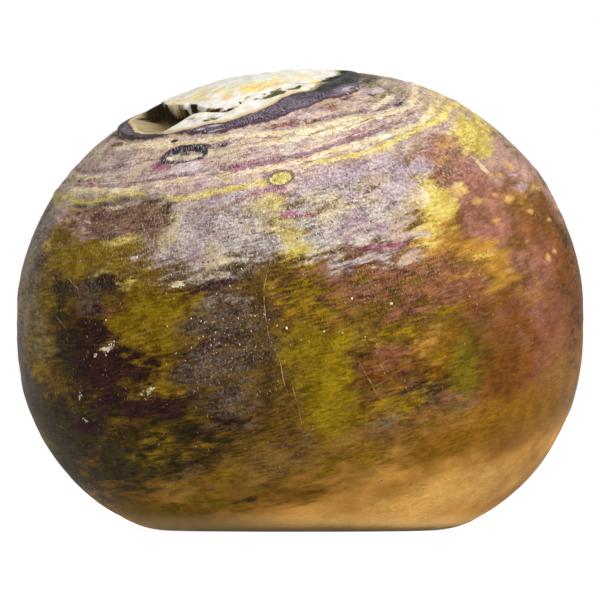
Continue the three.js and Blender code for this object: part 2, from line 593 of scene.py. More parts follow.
def shoulderHeights(polar, side, wobble):
    height = np.zeros_like(polar)
    for scar in leafScars:
        height += scar["rise"] * scarWeight(scar, polar + 0.25 * wobble["streak"], side)
    for bud in budScars:
        reach = ovalReach(polar, side, bud)
        for share, centre, halfWidth in budProfile:
            height += share * bud["height"] * hump(reach, centre, halfWidth)
    for swelling in budSwellings:
        reach = ovalReach(polar, side, swelling)
        height += swelling["height"] * (1 - softStep(reach, *swellingShape["edge"]))
        groove = swellingShape["grooveShare"] * swelling["height"]
        height -= groove * hump(reach, *swellingShape["groove"])
    return height


def ledgeHeights(polar, side, wobble):
    # the skin steps down along a wavy ledge and comes back up below it
    wave = ledge["wave"] * np.sin(np.radians(3 * (side - ledge["side"])))
    below = polar - (ledge["polar"] + wave + 0.4 * wobble["fine"])
    share = sideShare(side, ledge)
    dip = softStep(below, *ledge["drop"]) * (1 - softStep(below, *ledge["comeback"]))
    return share * (ledge["rim"] * hump(below, *ledge["rimPlace"]) - ledge["height"] * dip)


def bodyHeights(polar, side, way, wobble):
    height = ledgeHeights(polar, side, wobble)
    furrowReach = np.hypot(
        sideGap(side, furrow["side"]) / furrow["sideReach"],
        (polar - furrow["polar"]) / furrow["polarReach"],
    )
    height -= furrow["depth"] * (1 - softStep(furrowReach, 0.1, 1.15))
    wave = np.sin(np.radians(backWaves["aroundCount"] * side) + 2 * way[..., 2])
    height += backWaves["height"] * softStep(way[..., 1], 0.15, 0.8) * wave
    belly = softStep(polar, *bodyLumps["bellyStart"])
    height += belly * (bodyLumps["broad"] * wobble["broad"] + bodyLumps["streak"] * wobble["streak"])
    height += bodyLumps["wide"] * wobble["wide"] * softStep(polar, *bodyLumps["wideStart"])
    height += fleshRise["height"] * swell(polar, side, fleshRise)
    return height - crownSettle["depth"] * swell(polar, side, crownSettle)


def trimToBase(way, radius):
    # the rounded turn into the flat base
    baseDrop = rootSize.z * rootForm["widestLevel"]
    rounding = rootForm["baseRounding"]
    lower = way[..., 2] < 0
    flat = baseDrop / np.maximum(-way[..., 2], 1e-6)
    share = np.clip(0.5 + 0.5 * (flat - radius) / rounding, 0, 1)
    trimmed = flat * (1 - share) + radius * share - rounding * share * (1 - share)
    points = way * np.where(lower, trimmed, radius)[..., None]
    points[..., 2] = np.maximum(points[..., 2] + baseDrop, 0)
    return points


def cutTaproot(points, wobble):
    # the round scar under the base, and how far each point is from its middle in its own radius
    reach = np.hypot(points[..., 0] - taproot["x"], points[..., 1] - taproot["y"]) / taproot["radius"]
    reach = np.where(points[..., 2] < rootSize.z * rootForm["widestLevel"], reach, taproot["outOfReach"])
    underside = 1 - softStep(points[..., 2], 0.5 * mm, 3 * mm)
    dent = taprootDent
    heart = dent["heart"] * hump(reach, 0, dent["heartReach"])
    scar = underside * (1 - softStep(reach, *dent["edge"])) * (dent["dip"] - heart)
    scar += underside * dent["halo"] * (1 - softStep(reach, *dent["haloEdge"])) * (1 + wobble["broad"])
    points[..., 2] += taproot["depth"] * np.clip(scar + 0.12 * scar * wobble["fine"], 0, 1)
    return reach


def makeSkinField():
    gridPolar, gridSide = skinAngles(skinMesh)
    lean = 1 - softStep(gridPolar, rootForm["uprightFrom"], rootForm["uprightBy"])
    way = wayAt(gridPolar, gridSide, growthFrame(lean, rootForm))
    polar, side = anglesOf(way, crownAxes)
    around = np.radians(side)
    ringWay = np.stack([np.cos(around), np.sin(around), np.radians(polar)], axis=-1)
    wobble = {name: wavyField(way, cell, seed) for name, (cell, seed) in wobbles.items()}
    wobble["streak"] = wavyField(ringWay, *streakWobble)
    lines = {name: closedLine(points, side) for name, points in crownLines.items()}
    height = crownHeights(polar, side, lines, wobble) + shoulderHeights(polar, side, wobble)
    height += bodyHeights(polar, side, way, wobble)
    points = trimToBase(way, plainRadius(way, rootForm) + height * mm)
    fromTap = cutTaproot(points, wobble)
    ringPolar = polar + 0.5 * wobble["wide"] + 0.3 * wobble["streak"]
    fields = dict(polar=polar, side=side, ringPolar=ringPolar, ringWay=ringWay)
    fields.update(lines=lines, fromTap=fromTap, wobble=wobble)
    return points, fields


# Pigments: where each one lies. Degrees round, degrees down, width, height and amount

pigmentPatches = dict(
    rose=[
        (56, 65, 26, 12, 1.0), (47, 68, 14, 12, 1.1), (49, 77, 16, 9, 1.1), (72, 66, 24, 14, 0.8),
        (52, 56, 26, 8, 0.7), (56, 86, 14, 6, 0.8), (60, 97, 20, 16, 1.0), (78, 76, 20, 12, 0.6),
        (34, 80, 12, 4, 0.7), (37, 86, 10, 7, 0.8), (42, 55, 14, 6, 0.6), (66, 88, 14, 10, 0.9),
        (62, 68, 18, 8, 0.8), (55, 73, 10, 6, 0.8), (31, 34.8, 9, 3, 0.9), (24, 33.4, 16, 1.4, 0.6),
    ],
    russet=[
        (50, 95, 16, 10, 1.0), (54, 104, 16, 14, 1.1), (66, 100, 18, 18, 1.1), (60, 111, 14, 6, 0.7),
        (78, 92, 14, 26, 0.8), (40, 92, 8, 5, 0.7), (62, 79, 12, 8, 0.8), (68, 86, 12, 12, 0.9),
        (74, 104, 12, 16, 0.9),
    ],
    rosewood=[
        (12, 74, 22, 7, 1.0), (24, 77, 20, 8, 1.1), (14, 81, 16, 6, 0.8), (32, 84, 14, 8, 1.0),
        (22, 85, 14, 4, 0.7), (38, 89, 10, 5, 0.8), (17, 97, 12, 10, 0.8), (22, 103, 10, 8, 0.6),
        (29, 105, 12, 6, 0.8), (25, 109, 16, 6, 0.3), (14, 111.5, 14, 5, 0.5), (14, 34.4, 34, 1.8, 0.9),
        (44, 33.6, 20, 1.6, 0.8), (-44, 72, 14, 4, 0.6), (-38, 51, 20, 3, 0.6), (-43.3, 62, 8, 1.8, 0.8),
        (-37.3, 62.8, 6, 1.6, 0.8), (-33, 60, 5, 1.6, 0.6),
    ],
    # rust; the tall patches along the right side, about 77 to 92 degrees round, also paint shade there
    rustAndShade=[
        (44, 106, 16, 12, 1.1), (37, 87, 12, 8, 0.5), (16, 97, 18, 10, 0.5), (70, 79, 16, 8, 0.6),
        (-64, 55, 12, 10, 0.7), (30, 76, 12, 4, 0.6), (-34, 53, 14, 8, 0.8), (38, 79, 10, 5, 0.7),
        (24, 90, 10, 4, 0.5), (-42, 98, 8, 6, 0.5), (42, 110, 14, 7, 1.0), (82, 98, 16, 28, 1.0),
        (92, 95, 22, 40, 0.9), (77, 88, 13, 32, 1.2), (36.5, 90.4, 9, 1.8, 0.9), (43.5, 91.8, 8, 2, 1.0),
        (49, 94.8, 6, 2.8, 1.0), (52.6, 98.2, 4.6, 4, 1.0), (54, 102.4, 4, 5, 0.9), (45, 98, 9, 7, 0.8),
        (26, 102, 10, 6, 0.7),
    ],
    orange=[
        (37, 69, 10, 7, 1.0), (34, 74, 12, 7, 1.0), (45, 80, 14, 5, 1.0), (58, 80, 12, 4, 0.2),
        (46, 84, 14, 4, 1.0), (47, 88, 11, 4, 0.9), (27, 94.5, 8, 5, 0.9), (28, 99, 6, 5, 0.8),
        (66, 73, 12, 6, 0.5), (53, 57, 10, 5, 0.6), (55, 91.5, 12, 4, 0.6), (60, 93, 8, 6, 0.5),
        (14, 107, 8, 4, 0.6), (-66, 59, 8, 2, 0.8), (-62, 51, 14, 4, 0.6), (-66, 56, 12, 5, 1.0),
        (-59.5, 53.7, 10, 3, 0.8), (78, 82, 12, 5, 0.4),
    ],
    amber=[
        (72, 114, 30, 16, 1.1), (50, 121, 20, 6, 0.9), (100, 108, 30, 20, 0.8), (120, 106, 40, 14, 0.8),
        (-130, 108, 60, 12, 0.9),
    ],
    ochre=[
        (46, 116, 26, 9, 1.2), (28, 117, 26, 8, 1.0), (10, 114, 20, 5, 0.6), (58, 117, 20, 10, 0.8),
        (30, 97, 9, 7, 1.1), (27, 102, 8, 5, 1.0), (-49, 57.5, 14, 3, 0.8), (-58, 64, 10, 5, 0.6),
        (-12, 119, 26, 8, 0.7), (-9, 121.4, 22, 6, 0.9), (-50, 60, 20, 5, 0.7),
    ],
    blush=[
        (68, 63, 20, 7, 1.0), (82, 65, 24, 16, 1.0), (74, 70, 12, 5, 0.6), (62, 67, 8, 4, 0.6),
        (86, 78, 14, 12, 0.6),
    ],
    # pale tan low on the root, painted light where the skin turns down
    paleUnderLight=[
        (28, 134, 50, 13, 1.0), (42, 129, 24, 6, 0.8), (8, 138, 50, 12, 0.8), (-34, 132, 70, 12, 0.7),
    ],
    dusk=[
        (78, 28.6, 22, 5, 1.0), (86, 32, 20, 5, 0.7), (98, 36, 30, 8, 0.6), (90, 44, 20, 6, 0.4),
        (-84, 30.6, 18, 3, 0.7), (-68, 70, 7, 12, 0.7), (-65, 79, 9, 9, 0.6), (66, 38, 26, 6, 1.0),
        (70, 33, 18, 5, 1.0), (-72, 57, 8, 5, 0.7), (-82, 61, 16, 9, 0.9), (-76, 72, 8, 10, 0.6),
        (-90, 36, 22, 6, 0.5), (-96, 60, 20, 30, 0.5),
    ],
    greyMauve=[
        (-8, 106.5, 18, 8, 0.3), (-12, 113, 22, 8, 0.55), (-18, 100, 16, 6, 0.6), (-34, 108, 16, 6, 0.6),
        (22, 74, 26, 3, 0.8), (6, 112, 20, 4, 0.25), (-78, 64, 18, 22, 0.6), (-84, 82, 18, 24, 0.7),
        (22, 106, 12, 4, 0.5), (12, 108, 12, 4, 0.45), (32, 108, 10, 5, 0.45), (-62, 94, 16, 6, 0.25),
        (84, 60, 20, 18, 0.6), (-83, 66, 16, 26, 1.1), (-88, 52, 16, 14, 0.8), (-80, 86, 10, 14, 0.6),
        (-58, 113, 16, 5, 0.3),
    ],
    # dark umber; the large patches low on the left also paint the shade of that side
    umberAndShade=[
        (-57, 67, 8, 10, 0.8), (-56, 80, 10, 16, 1.0), (-60, 96, 30, 14, 1.1), (-76, 98, 34, 30, 1.0),
        (-50, 106, 40, 14, 0.9), (-34, 98, 30, 10, 0.8), (-26, 92, 14, 12, 0.7), (-9, 82, 4, 18, 0.4),
        (-9, 96, 5, 12, 0.5), (-68, 72, 16, 14, 0.15), (-20, 105, 22, 6, 0.6), (-49, 69, 8, 6, 0.4),
        (1, 75, 9, 6, 0.9), (4, 71, 9, 3, 0.5), (12, 93, 8, 6, 0.5), (-90, 92, 24, 40, 0.9),
        (-70, 110, 30, 12, 0.8), (8, 99, 6, 8, 0.5), (2, 78, 7, 5, 0.75), (-57, 97, 12, 8, 1.2),
        (-22, 120, 30, 10, 0.4), (-6, 122, 18, 6, 0.25), (-71, 63, 6, 12, 0.5), (77, 98, 14, 34, 0.38),
        (79, 84, 9, 16, 0.6), (72, 30.6, 10, 3, 0.6), (-46, 99, 20, 8, 0.8), (24, 104, 16, 7, 0.65),
        (-42.6, 87, 8, 9, 0.7), (-33, 106, 22, 6, 0.7), (-8, 120.5, 16, 4, 0.3),
    ],
    mustard=[
        (-34, 77, 15, 12, 1.1), (-53, 63, 18, 5, 0.9), (-31, 67, 10, 11, 0.9), (-31, 86, 8, 10, 0.9),
        (2, 79, 11, 14, 0.9), (-70, 79, 12, 8, 0.6), (-66, 85, 12, 5, 0.6), (20, 90, 16, 4, 0.6),
        (-38, 102, 16, 10, 0.4), (-25, 75, 8, 5, 0.8), (33, 89, 8, 4, 0.5), (16, 105, 14, 5, 0.7),
        (-28, 105, 12, 4, 0.4), (0, 115, 30, 6, 0.6), (-24, 113, 30, 6, 0.6), (-64, 56, 14, 5, 0.6),
        (-46, 120, 50, 7, 0.9), (-44, 86, 6, 2, 0.7), (-63, 71, 7, 14, 0.7),
    ],
    brightMustard=[
        (-55, 60.5, 16, 6, 1.3), (-41, 62.5, 10, 4, 0.9), (-39, 75, 12, 6, 0.8), (-31, 70, 8, 6, 0.7),
        (0, 88, 15, 6, 1.1), (2, 99, 11, 18, 1.2), (-48, 59.5, 22, 5, 1.2), (-35, 58.5, 8, 4, 0.9),
        (27, 97, 5, 6, 0.5), (-29.5, 75, 9, 8, 0.9), (2, 106, 12, 6, 0.8), (-49, 90, 3, 1.6, 0.8),
        (19, 87.5, 10, 2, 0.4),
    ],
    green=[
        (34, 101, 9, 9, 1.2), (33, 105, 9, 5, 0.9), (-45, 106, 14, 8, 0.4), (4, 104, 9, 8, 0.5),
        (-72, 80, 10, 6, 0.4),
    ],
    yellow=[
        (1, 56.5, 12, 6, 0.8), (4, 61, 10, 4, 0.8), (5, 65.5, 13, 9, 1.1), (32, 71.4, 8, 5, 0.8),
        (-16.5, 56.4, 8, 4, 0.6), (20, 62.5, 16, 2.4, 0.7), (26, 66.5, 14, 2, 0.7), (17, 70.5, 14, 1.6, 0.5),
        (12, 67, 8, 3, 0.7), (36, 64, 10, 7, 1.2), (38, 67.5, 12, 7, 1.1), (69, 47.5, 14, 5, 0.9),
        (73, 42, 14, 3, 0.5), (66, 58, 16, 6, 1.1), (31, 60, 12, 3, 0.6), (73, 55, 20, 7, 1.1),
        (-22, 55.5, 10, 3, 0.8), (39, 70, 7, 6, 0.7), (-41, 57.4, 10, 2, 0.7), (-38, 66.5, 8, 1.8, 0.7),
        (-45, 64.6, 6, 1.4, 0.5), (-68, 58.4, 8, 2, 0.5), (47.5, 66.5, 4, 2.4, 0.9), (-27, 58, 4, 2, 0.7),
        (78, 74, 12, 3, 0.4), (60, 53, 10, 3, 0.6), (88, 47, 40, 8, 0.6), (34, 75, 6, 3, 0.6),
        (44, 82, 8, 2, 0.5), (-82, 48.6, 24, 2.4, 0.8), (24, 70, 10, 2, 0.5),
    ],
    greyGrain=[
        (-16, 78, 16, 9, 1.1), (-19, 87, 18, 8, 1.1), (-18, 95, 16, 7, 0.8), (-48, 68.5, 10, 8, 0.9),
        (-15, 73.5, 14, 3, 0.7), (-16, 69, 20, 5, 1.0), (14, 79, 8, 3, 0.4), (-74, 90, 12, 4, 0.4),
    ],
    plum=[
        (-48, 76, 13, 7, 1.2), (-47, 84, 15, 9, 1.5), (-38, 85, 9, 6, 1.0), (-36, 93, 18, 4, 1.4),
        (-42, 66.5, 8, 4, 0.8), (-46, 90, 12, 5, 1.0), (-17, 71, 18, 2, 1.0), (16, 98, 14, 6, 0.35),
        (-20, 100.5, 14, 3, 0.6), (-47, 53, 12, 4, 0.8), (-18, 83.5, 18, 1.8, 0.8), (24, 78, 16, 2, 0.4),
        (14, 75, 14, 2, 0.4), (24, 71.8, 12, 1.2, 0.8), (30, 73.4, 10, 1, 0.7), (20, 69.6, 10, 1, 0.6),
        (-31, 55.5, 12, 2, 0.6), (20, 81.5, 20, 1.6, 0.35), (0, 77, 8, 1.4, 0.35), (-52, 94, 14, 4, 0.8),
        (-43, 88, 10, 8, 1.1),
    ],
    # grey wax on the upper belly, with the sheen of a lamp above painted over it
    greyWaxAndSheen=[
        (-14, 60.5, 26, 11, 1.3), (-4, 65, 12, 7, 0.8), (-20, 57, 12, 6, 0.8), (-18, 68, 18, 4, 0.5),
        (18, 65.5, 21, 9.5, 1.2), (17, 58, 17, 6, 1.0), (30, 57, 18, 4, 0.7), (27, 61.5, 12, 6, 0.9),
        (22, 71, 14, 4, 0.3), (26, 75.5, 12, 4, 0.45), (17, 74, 14, 4, 0.5), (-15, 74, 12, 2, 0.4),
        (10, 70.5, 14, 2, 0.6),
    ],
    brownPlum=[
        (-45, 50.8, 30, 4.6, 1.1), (-40, 54.5, 26, 4, 1.0), (-58, 53, 12, 6, 0.6), (-28.5, 54, 5, 7, 1.1),
        (-70, 62, 10, 8, 0.3),
    ],
    magenta=[
        (-31, 41, 12, 3.6, 0.9), (-25, 44.4, 12, 2, 1.0), (4, 52.8, 12, 2, 1.0), (-3, 54.4, 12, 1.6, 0.6),
        (7, 58.6, 6, 1.6, 0.9), (3, 61.6, 7, 1.4, 0.9), (12, 60.4, 6, 1.2, 0.6), (-16, 42, 8, 3, 0.6),
        (30, 53.4, 18, 1.6, 0.5), (12, 46, 34, 3.4, 0.7), (16, 52.2, 26, 2.4, 0.4), (24, 72, 16, 1.8, 0.5),
        (18, 68.6, 14, 1.4, 0.3), (-6, 44, 20, 2.4, 0.7), (-48, 43.6, 20, 2, 0.6), (8, 36, 12, 2.4, 0.6),
        (32, 44.6, 20, 1.6, 0.6), (-3, 49, 16, 1.6, 0.6), (-67, 33.6, 9, 2.2, 0.8), (-60, 44, 24, 1.6, 0.4),
    ],
    lavender=[
        (26, 54, 20, 4, 0.9), (38, 58, 14, 5, 0.7), (34, 52.6, 20, 2, 0.6), (-10, 53.2, 20, 2, 0.6),
        (-16, 47.8, 16, 2, 0.5), (25, 34.8, 9, 3, 0.9), (61.5, 35.4, 9, 3, 1.0), (22, 74.6, 14, 1.4, 0.4),
        (26, 70.8, 12, 1.2, 0.3), (17, 53.6, 16, 4, 0.8), (45, 64.6, 6, 2.4, 0.7), (27, 60.5, 12, 5, 1.0),
        (20, 73.4, 16, 1.4, 0.6), (30, 72, 8, 1.4, 0.5), (-36, 61.8, 2.4, 1.2, 0.9), (70, 70, 14, 4, 0.4),
    ],
    cream=[
        (36, 64, 5, 4, 1.1), (-25.4, 69, 3, 1.4, 1.0), (-46, 49.5, 12, 1.4, 0.45), (76.5, 46.6, 5, 1.3, 1.2),
        (59.6, 63.6, 1.6, 4.6, 0.9), (60.5, 53.6, 5, 1.4, 0.8), (20, 61, 14, 1.2, 0.5),
        (20, 67, 14, 1.2, 0.5), (-45, 80, 5, 0.8, 0.6), (-36.5, 90, 3, 0.8, 0.7),
    ],
    yellowDot=[
        (46.4, 67.1, 3, 1.6, 1.1), (50.7, 70.1, 3, 1.6, 1.1), (60.7, 72.5, 3.4, 1.6, 1.1),
        (52.5, 75.2, 3.4, 1.3, 1.0), (50.6, 86.1, 2.6, 1.1, 1.0), (65.1, 64.5, 2.4, 1.3, 1.0),
        (70.8, 66.6, 2.6, 1.4, 1.0), (60.4, 66.4, 2, 1, 1.0), (63.8, 67.5, 2.4, 1.2, 1.1),
        (65.5, 87.3, 2, 1.6, 1.0), (69.2, 86.5, 2, 1.2, 1.0), (57, 70.5, 2, 1, 0.8), (66, 77, 2.4, 1.2, 0.8),
        (59, 82, 3, 1, 0.8), (73, 80, 2, 1.4, 0.8),
    ],
    # painted shade under the ledge on the left shoulder and in the furrow down the front
    furrowAndLedgeShade=[
        (-62, 48.8, 12, 1, 0.8), (-52, 48.6, 12, 1.1, 0.7), (-42, 48, 12, 1.1, 0.7), (-33, 49.2, 8, 1.2, 0.8),
        (-27.6, 52, 3, 4, 0.9), (-7.6, 77, 4, 14, 1.0), (-9, 86, 4.4, 14, 0.9), (-10.6, 95, 4, 12, 0.5),
    ],
    budDark=[
        (-28, 36.1, 8, 1.8, 1.4), (-23.5, 36.4, 7, 1.8, 1.3), (-18.5, 36.8, 6, 2, 1.3),
        (-17, 38.3, 2.6, 2.8, 1.1), (-32.4, 37.6, 3.6, 2.4, 1.1), (-30.5, 39.4, 4.4, 1.4, 1.2),
        (-25.5, 40.3, 9, 0.9, 1.2), (-20, 40.2, 6, 1, 1.2), (-24.4, 38, 5, 1.4, 0.9),
        (-31.5, 33, 3.6, 1, 1.1), (-9.8, 37.5, 3.2, 1.2, 0.9), (-14, 37.5, 3, 0.6, 0.7),
        (58, 41.6, 6, 1.2, 0.9), (48, 40.6, 7, 0.8, 0.7),
    ],
    # brown marks; those along the lower edges of the bud swellings paint their shade
    budBrownAndShade=[
        (-65.5, 32.6, 8, 1.8, 1.2), (20.6, 35.6, 1.6, 3, 1.0), (23.6, 37.2, 6, 0.9, 1.1),
        (29, 37, 4, 0.7, 0.6), (55.6, 35.8, 1.6, 2.6, 1.0), (58.4, 37.6, 5, 0.9, 1.0),
        (50.6, 37.3, 3, 0.8, 0.7), (40, 42.6, 26, 0.6, 0.7), (24, 41.2, 16, 0.5, 0.8),
    ],
    budCream=[
        (-28.6, 38.4, 5, 1.4, 1.2), (-19.8, 39.2, 5, 1.3, 1.2), (-34.6, 32.2, 3.4, 1.4, 1.0),
        (-23.6, 39.5, 3, 0.8, 0.8),
    ],
    budPink=[
        (-23.5, 42, 11, 2.4, 1.2), (-20, 43.4, 6, 1.4, 0.7), (21.4, 35, 7, 2.4, 0.8),
        (61.5, 35.2, 8, 2.2, 0.9),
    ],
)
# Zones of hairlines down the root, and of a grey film of painted sheen along the left side
pigmentPatches["hairline"] = [
    (14, 56, 96, 26, 1.1), (8, 82, 70, 30, 0.4), (24, 80, 30, 16, 0.8), (-50, 62, 50, 20, 0.2),
    (62, 70, 50, 20, 0.3), (150, 58, 150, 30, 0.9), (-130, 60, 120, 30, 0.8), (10, 38, 360, 26, 1.0),
]
# painted sheen along the left side
pigmentPatches["sideSheen"] = [
    (-84, 60, 16, 24, 1.1), (-76, 55, 9, 8, 0.9), (-88, 78, 22, 20, 0.7), (-100, 66, 24, 12, 0.4),
]

# Stains, painted shade in the hollow and in the holes of the crack, and pale folds with painted glints, of
# the broken crown and its collar, in the same terms
crownMarks = dict(
    stain=[
        (20, 15.6, 54, 5, 0.75), (-10, 14, 24, 4, 0.5), (-66, 15.6, 14, 3, 0.8), (-45, 14.6, 24, 3, 0.7),
        (-22, 12, 16, 5, 0.8), (-11, 17, 7, 3, 0.9), (-42, 13, 24, 4, 0.6), (2, 11.4, 34, 3, 0.7),
        (-52, 10, 40, 5, 0.6), (32, 13.4, 30, 2.4, 0.7), (-30, 16.6, 16, 2, 0.7), (13, 15.2, 24, 3.4, 1.1),
        (51, 22.4, 9, 3, 1.2), (60, 17, 18, 3, 0.8), (-57, 18.2, 16, 2, 0.7), (120, 12, 30, 6, 0.8),
        (-140, 14, 24, 5, 0.8),
    ],
    # painted shade in the hollow under the broken face, darkest on its far wall
    hollowShade=[
        (-118, 21, 66, 5, 1.4), (-88, 18.6, 30, 2.4, 1.2), (-62, 18.6, 30, 1.8, 1.1),
        (-98, 23.4, 14, 2.2, 0.8), (-76, 23.4, 3, 4.6, 0.6), (-52, 27.6, 22, 1, 0.5),
        (-40, 27.4, 12, 2.4, 0.5),
    ],
    # painted shade in the crack under the broken face and in its holes
    crackHoleShade=[
        (-36, 19.8, 10, 2.2, 1.3), (-30, 21.8, 6, 1.6, 1.1), (-17, 22.9, 11, 1.1, 1.0),
        (-9, 23.9, 8, 0.9, 0.9), (-4.5, 24.4, 4, 0.6, 0.6), (-1.4, 21.4, 2.4, 0.8, 0.9),
        (4, 20.6, 3, 0.8, 0.8), (13, 17.9, 14, 0.5, 0.8), (-103, 22.6, 4, 4, 0.7),
    ],
    olive=[
        (-17, 27, 9, 1.6, 0.8), (56, 31, 5, 1, 0.9), (21, 21.2, 6, 1.6, 1.0), (33, 22.6, 10, 1.4, 1.0),
        (26, 20.2, 5, 1.2, 0.8), (18, 22.6, 22, 1.8, 0.8), (8, 22.4, 5, 1.4, 0.9), (24, 21.6, 4, 1.6, 1.1),
        (14, 21, 5, 1, 0.8), (-28, 25.4, 6, 1.2, 0.4), (-20, 22.2, 8, 1, 0.7),
    ],
    collarBlack=[
        (50, 26.4, 30, 4, 1.1), (66, 27, 26, 4, 1.1), (62, 23.8, 26, 2.6, 1.2), (30, 25.4, 14, 1.4, 0.8),
        (72, 30.6, 16, 3, 0.7), (-96, 27.4, 40, 2.4, 0.8), (-60, 30, 60, 2.2, 0.75), (86, 26, 40, 5, 1.5),
    ],
    collarBrown=[
        (86, 30.4, 22, 4, 1.1), (98, 29, 26, 4, 0.8),
    ],
    # pale folds of the collar, with painted glints along it and on the bud at its right end
    foldPaleAndGlints=[
        (-14, 30.4, 7, 1.2, 0.9), (-20, 30.9, 4, 0.5, 1.0), (-13, 32.2, 8, 0.5, 0.9), (53, 30.4, 9, 1.6, 0.9),
        (56.4, 31, 4, 1.4, 1.0), (-26, 26.2, 8, 2, 0.6),
    ],
)
pigmentPatches.update(crownMarks)

# How far outlines wander in degrees, and the share of that for small marks
patchWarp = dict(side=5.0, polar=2.2, fineShare=0.12)
finePigments = ("cream", "yellowDot", "budDark", "budCream", "budBrownAndShade", "budPink", "furrowAndLedgeShade", *crownMarks)

# Where small flecks and pits are thick, in the same terms
fleckZones = dict(
    # golden flecks that paint small glints on the belly
    goldFlecks=[
        (22, 80, 30, 18, 1.1), (-46, 80, 44, 30, 0.5), (-16, 86, 24, 24, 0.8), (2, 86, 20, 20, 0.4),
        (6, 104, 60, 12, 0.25), (48, 78, 20, 16, 0.2), (150, 80, 160, 40, 0.6), (-130, 80, 60, 40, 0.6),
        (-50, 54, 26, 10, 0.8),
    ],
    paleFlecks=[
        (0, 43, 150, 18, 0.8), (-14, 64, 26, 13, 1.1), (20, 66, 28, 13, 1.1), (-17, 82, 20, 16, 0.6),
        (180, 48, 200, 26, 0.7),
    ],
    darkPits=[
        (0, 50, 130, 26, 0.7), (-14, 64, 30, 14, 1.1), (18, 64, 30, 14, 1.0), (26, 80, 34, 14, 0.6),
        (34, 124, 60, 22, 0.08), (180, 50, 200, 30, 0.6),
    ],
)

backPatches = dict(
    count=72,
    seed=7,
    fromSide=95,
    widths=(14, 34),
    heights=(5, 16),
    amounts=(0.7, 1.1),
    kinds=[  # with the highest and lowest places of each, in degrees down
        ("mustard", 58, 112), ("umberAndShade", 62, 118), ("rose", 56, 96), ("greyWaxAndSheen", 52, 66),
        ("rustAndShade", 72, 112), ("brightMustard", 60, 106), ("plum", 66, 98), ("orange", 62, 104),
        ("yellow", 47, 60), ("greyGrain", 68, 104), ("ochre", 96, 118), ("greyMauve", 60, 108),
        ("mustard", 58, 112), ("umberAndShade", 70, 112), ("russet", 84, 108), ("rosewood", 64, 96),
    ],
)


# The even skin at the right and along the foot: where each soft edge starts and ends, in degrees
calmZone = dict(start=(22, 50), end=(150, 178), top=(54, 66), foot=(109, 122))


def addBackPatches(setup):
    # the side away from the front has the same kinds of patches
    random = np.random.default_rng(setup["seed"])
    for number in range(setup["count"]):
        side = random.uniform(setup["fromSide"], 360 - setup["fromSide"])
        kind, highest, lowest = setup["kinds"][number % len(setup["kinds"])]
        polar = random.uniform(highest, lowest)
        size = (random.uniform(*setup["widths"]), random.uniform(*setup["heights"]))
        pigmentPatches[kind].append((sideGap(side, 0), polar, *size, random.uniform(*setup["amounts"])))


def patchWeight(patches, fields, share=1.0):
    # soft ovals with wandering outlines; the strongest one counts
    wobble = fields["wobble"]
    acrossWarp = 0.6 * wobble["broad"] + 0.4 * wobble["wide"]
    downWarp = 0.6 * wobble["otherBroad"] + 0.4 * wobble["streak"]
    side = fields["side"] + share * patchWarp["side"] * acrossWarp
    polar = fields["polar"] + share * patchWarp["polar"] * downWarp
    total = np.zeros_like(polar)
    for centreSide, centrePolar, width, height, amount in patches:
        reach = np.hypot(sideGap(side, centreSide) / (width / 2), (polar - centrePolar) / (height / 2))
        total = np.maximum(total, amount * (1 - softStep(reach, 0, 2)))
    return total


def withPoles(grid):
    # the values of all rings one after another, between those of the two poles
    crownPole, basePole = grid[0].mean(axis=0), grid[-1].mean(axis=0)
    return np.concatenate([[crownPole], grid.reshape(-1, *grid.shape[2:]), [basePole]])


def makeSkinMesh():
    points, fields = makeSkinField()
    rows, columns = points.shape[:2]
    vertices = withPoles(points)
    index = np.arange(rows * columns).reshape(rows, columns) + 1
    beside = np.roll(index, -1, axis=1)
    quads = np.stack([index[:-1], index[1:], beside[1:], beside[:-1]], axis=-1).reshape(-1, 4)
    crownFan = [(0, int(a), int(b)) for a, b in zip(index[0], beside[0])]
    baseFan = [(rows * columns + 1, int(b), int(a)) for a, b in zip(index[-1], beside[-1])]
    mesh = bpy.data.meshes.new("rutabagaSkin")
    mesh.from_pydata(vertices.tolist(), [], quads.tolist() + crownFan + baseFan)
    mesh.polygons.foreach_set("use_smooth", np.ones(len(mesh.polygons), bool))
    addSkinValues(mesh, fields)
    mesh.update()
    return mesh


def addSkinValues(mesh, fields):
    def store(name, grid, kind="FLOAT"):
        values = withPoles(grid).astype(np.float32)
        attribute = mesh.attributes.new(name, kind, "POINT")
        attribute.data.foreach_set("vector" if kind == "FLOAT_VECTOR" else "value", values.ravel())

    lines = fields["lines"]
    store("ringWay", fields["ringWay"], "FLOAT_VECTOR")
    store("ringPolar", fields["ringPolar"])
    store("insideCap", lines["capEdge"] - fields["polar"])
    store("insideLip", lines["lipEdge"] - fields["polar"])
    store("belowCollarTop", fields["polar"] - lines["collarTop"])
    store("aboveCollarFoot", lines["collarFoot"] - fields["polar"])
    store("fromTaproot", fields["fromTap"])
    for bud in budScars:
        store(bud["name"], np.minimum(ovalReach(fields["polar"], fields["side"], bud), 4))
    for name, patches in pigmentPatches.items():
        share = patchWarp["fineShare"] if name in finePigments else 1
        store(name, patchWeight(patches, fields, share))
    for name, patches in fleckZones.items():
        store(name, np.minimum(patchWeight(patches, fields), 1))
    for name in ("creamLine", "yellowLine", "mauveLine"):
        offset, strength = nearestScar(name, fields["ringPolar"], fields["side"])
        store(name + "Offset", offset)
        store(name + "Strength", strength)
    polar, side = fields["polar"], fields["side"]
    rightShare = softStep(side, *calmZone["start"]) * (1 - softStep(side, *calmZone["end"]))
    rightShare *= softStep(polar, *calmZone["top"])
    store("calm", np.maximum(rightShare, softStep(polar, *calmZone["foot"])))


# Skin colours, as 0 to 255 on a screen

